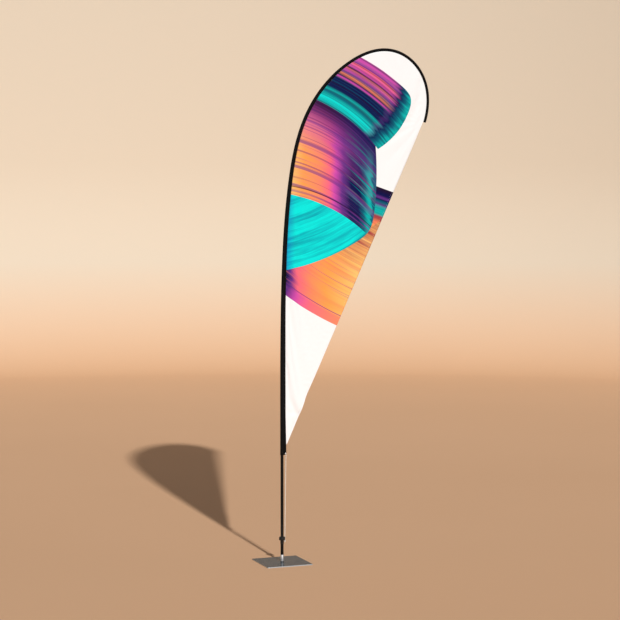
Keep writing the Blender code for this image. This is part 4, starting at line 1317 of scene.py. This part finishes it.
FLAG_PRINTS = [printed_cloth("flag_front", 0.0), printed_cloth("flag_back", 0.14)]
flat_grid = flag_grid()
hung_grid = flat_grid.copy()
hung_grid[..., 1] += folds(flat_grid)
hung_grid = weigh_down(hung_grid)
hung_grid[..., 1] = FOLD_CAP * np.tanh(hung_grid[..., 1] / FOLD_CAP)
flat_grid, hung_grid = finer(flat_grid), finer(hung_grid)
flag = cloth_shell("flag_cloth", hung_grid, flat_grid, FLAG_THICK / 2, -FLAG_THICK / 2)
finished(flag, "pole", FLAG_PRINTS, ["flag_panel"])

# The free edge is folded to the back once and sewn down with white thread.
hem_rows = slice(HEM_END_ROWS, -HEM_END_ROWS)
hem_grid, hem_flat = (
    np.stack([from_edge(grid[hem_rows], step) for step in HEM_STEPS], 1) for grid in (hung_grid, flat_grid)
)
hem = cloth_shell("flag_hem", hem_grid, hem_flat, -FLAG_THICK / 2 - HEM_GAP, -FLAG_THICK * 1.5)
finished(hem, "pole", FLAG_PRINTS[::-1])


def hem_stitches():
    """One row of stitches along the hem, on both faces."""
    line = from_edge(hung_grid[hem_rows], HEM_STITCH)
    facing = grid_normals(hem_grid)[:, 1]
    run = distances_along(line)
    first = np.arange(0.002, run[-1] - 2 * STITCH_PITCH, STITCH_PITCH)
    rows = []
    for side, lift in ((1.0, FLAG_THICK / 2), (-1.0, FLAG_THICK * 1.5)):
        up = points_at(first, run, facing) * side
        off = up * (lift + STITCH_LIFT)
        starts, ends = (points_at(places, run, line) + off for places in (first, first + STITCH_LENGTH))
        rows.append((starts, ends, up))
    return stitches("hem_stitching", *(np.vstack(group) for group in zip(*rows)))


hem_thread = hem_stitches()
finished(hem_thread, "pole", thread("white_thread", colour(236, 236, 236)))

# ---------------------------------------------------------------- floor and light
# A plain pale floor that curves up into a pale wall all round, one large soft light from the front and
# above, and an even surround.

STAGE_FLOOR = 13.0
STAGE_CURVE = 3.0
STAGE_WALL = 6.0
STAGE_STEPS = 16

stage_finish = Finish("stage", Roughness=0.8, Specular_IOR_Level=0.1)
stage_place = stage_finish.where()
stage_cloud = stage_finish.noise(stage_place, 0.3)
stage_sand = stage_finish.mix(stage_cloud, colour(226, 182, 144), colour(220, 176, 138))
stage_height = stage_place[2].ramp(0.0, STAGE_CURVE / 2)
stage_finish.show(stage_finish.mix(stage_height, stage_sand, colour(210, 196, 176)))
stage_disc = {"vertices": 128, "radius": STAGE_FLOOR, "fill_type": "NGON"}
floor = start_from(bpy.ops.mesh.primitive_circle_add, "floor", **stage_disc)
bpy.ops.object.mode_set(mode="EDIT")
bpy.ops.mesh.select_all(action="SELECT")
bpy.ops.mesh.inset(thickness=0.5)
bpy.ops.mesh.select_all(action="DESELECT")
bpy.ops.mesh.select_non_manifold()
reach, rise = STAGE_FLOOR, 0.0
for step in range(1, STAGE_STEPS + 1):
    turn = math.radians(90) * step / STAGE_STEPS
    next_reach = STAGE_FLOOR + STAGE_CURVE * math.sin(turn)
    next_rise = STAGE_CURVE * (1 - math.cos(turn))
    bpy.ops.mesh.extrude_edges_move(TRANSFORM_OT_translate={"value": (0, 0, next_rise - rise)})
    share = next_reach / reach
    bpy.ops.transform.resize(value=(share, share, 1.0), center_override=(0, 0, 0))
    reach, rise = next_reach, next_rise
bpy.ops.mesh.extrude_edges_move(TRANSFORM_OT_translate={"value": (0, 0, STAGE_WALL - STAGE_CURVE)})
bpy.ops.object.mode_set(mode="OBJECT")
settled(floor, 60)
floor.data.materials.append(stage_finish.material)

key = bpy.data.objects.new("key_light", bpy.data.lights.new("key_light", "SUN"))
key.data.energy = 3.3
key.data.angle = math.radians(1.6)
key.rotation_euler = (math.radians(60.6), 0.0, math.radians(-2.6))
bpy.context.scene.collection.objects.link(key)

surround = bpy.data.worlds.new("surround")
bpy.context.scene.world = surround
surround.use_nodes = True
surround.node_tree.nodes["Background"].inputs["Color"].default_value = colour(232, 232, 236)
surround.node_tree.nodes["Background"].inputs["Strength"].default_value = 0.22
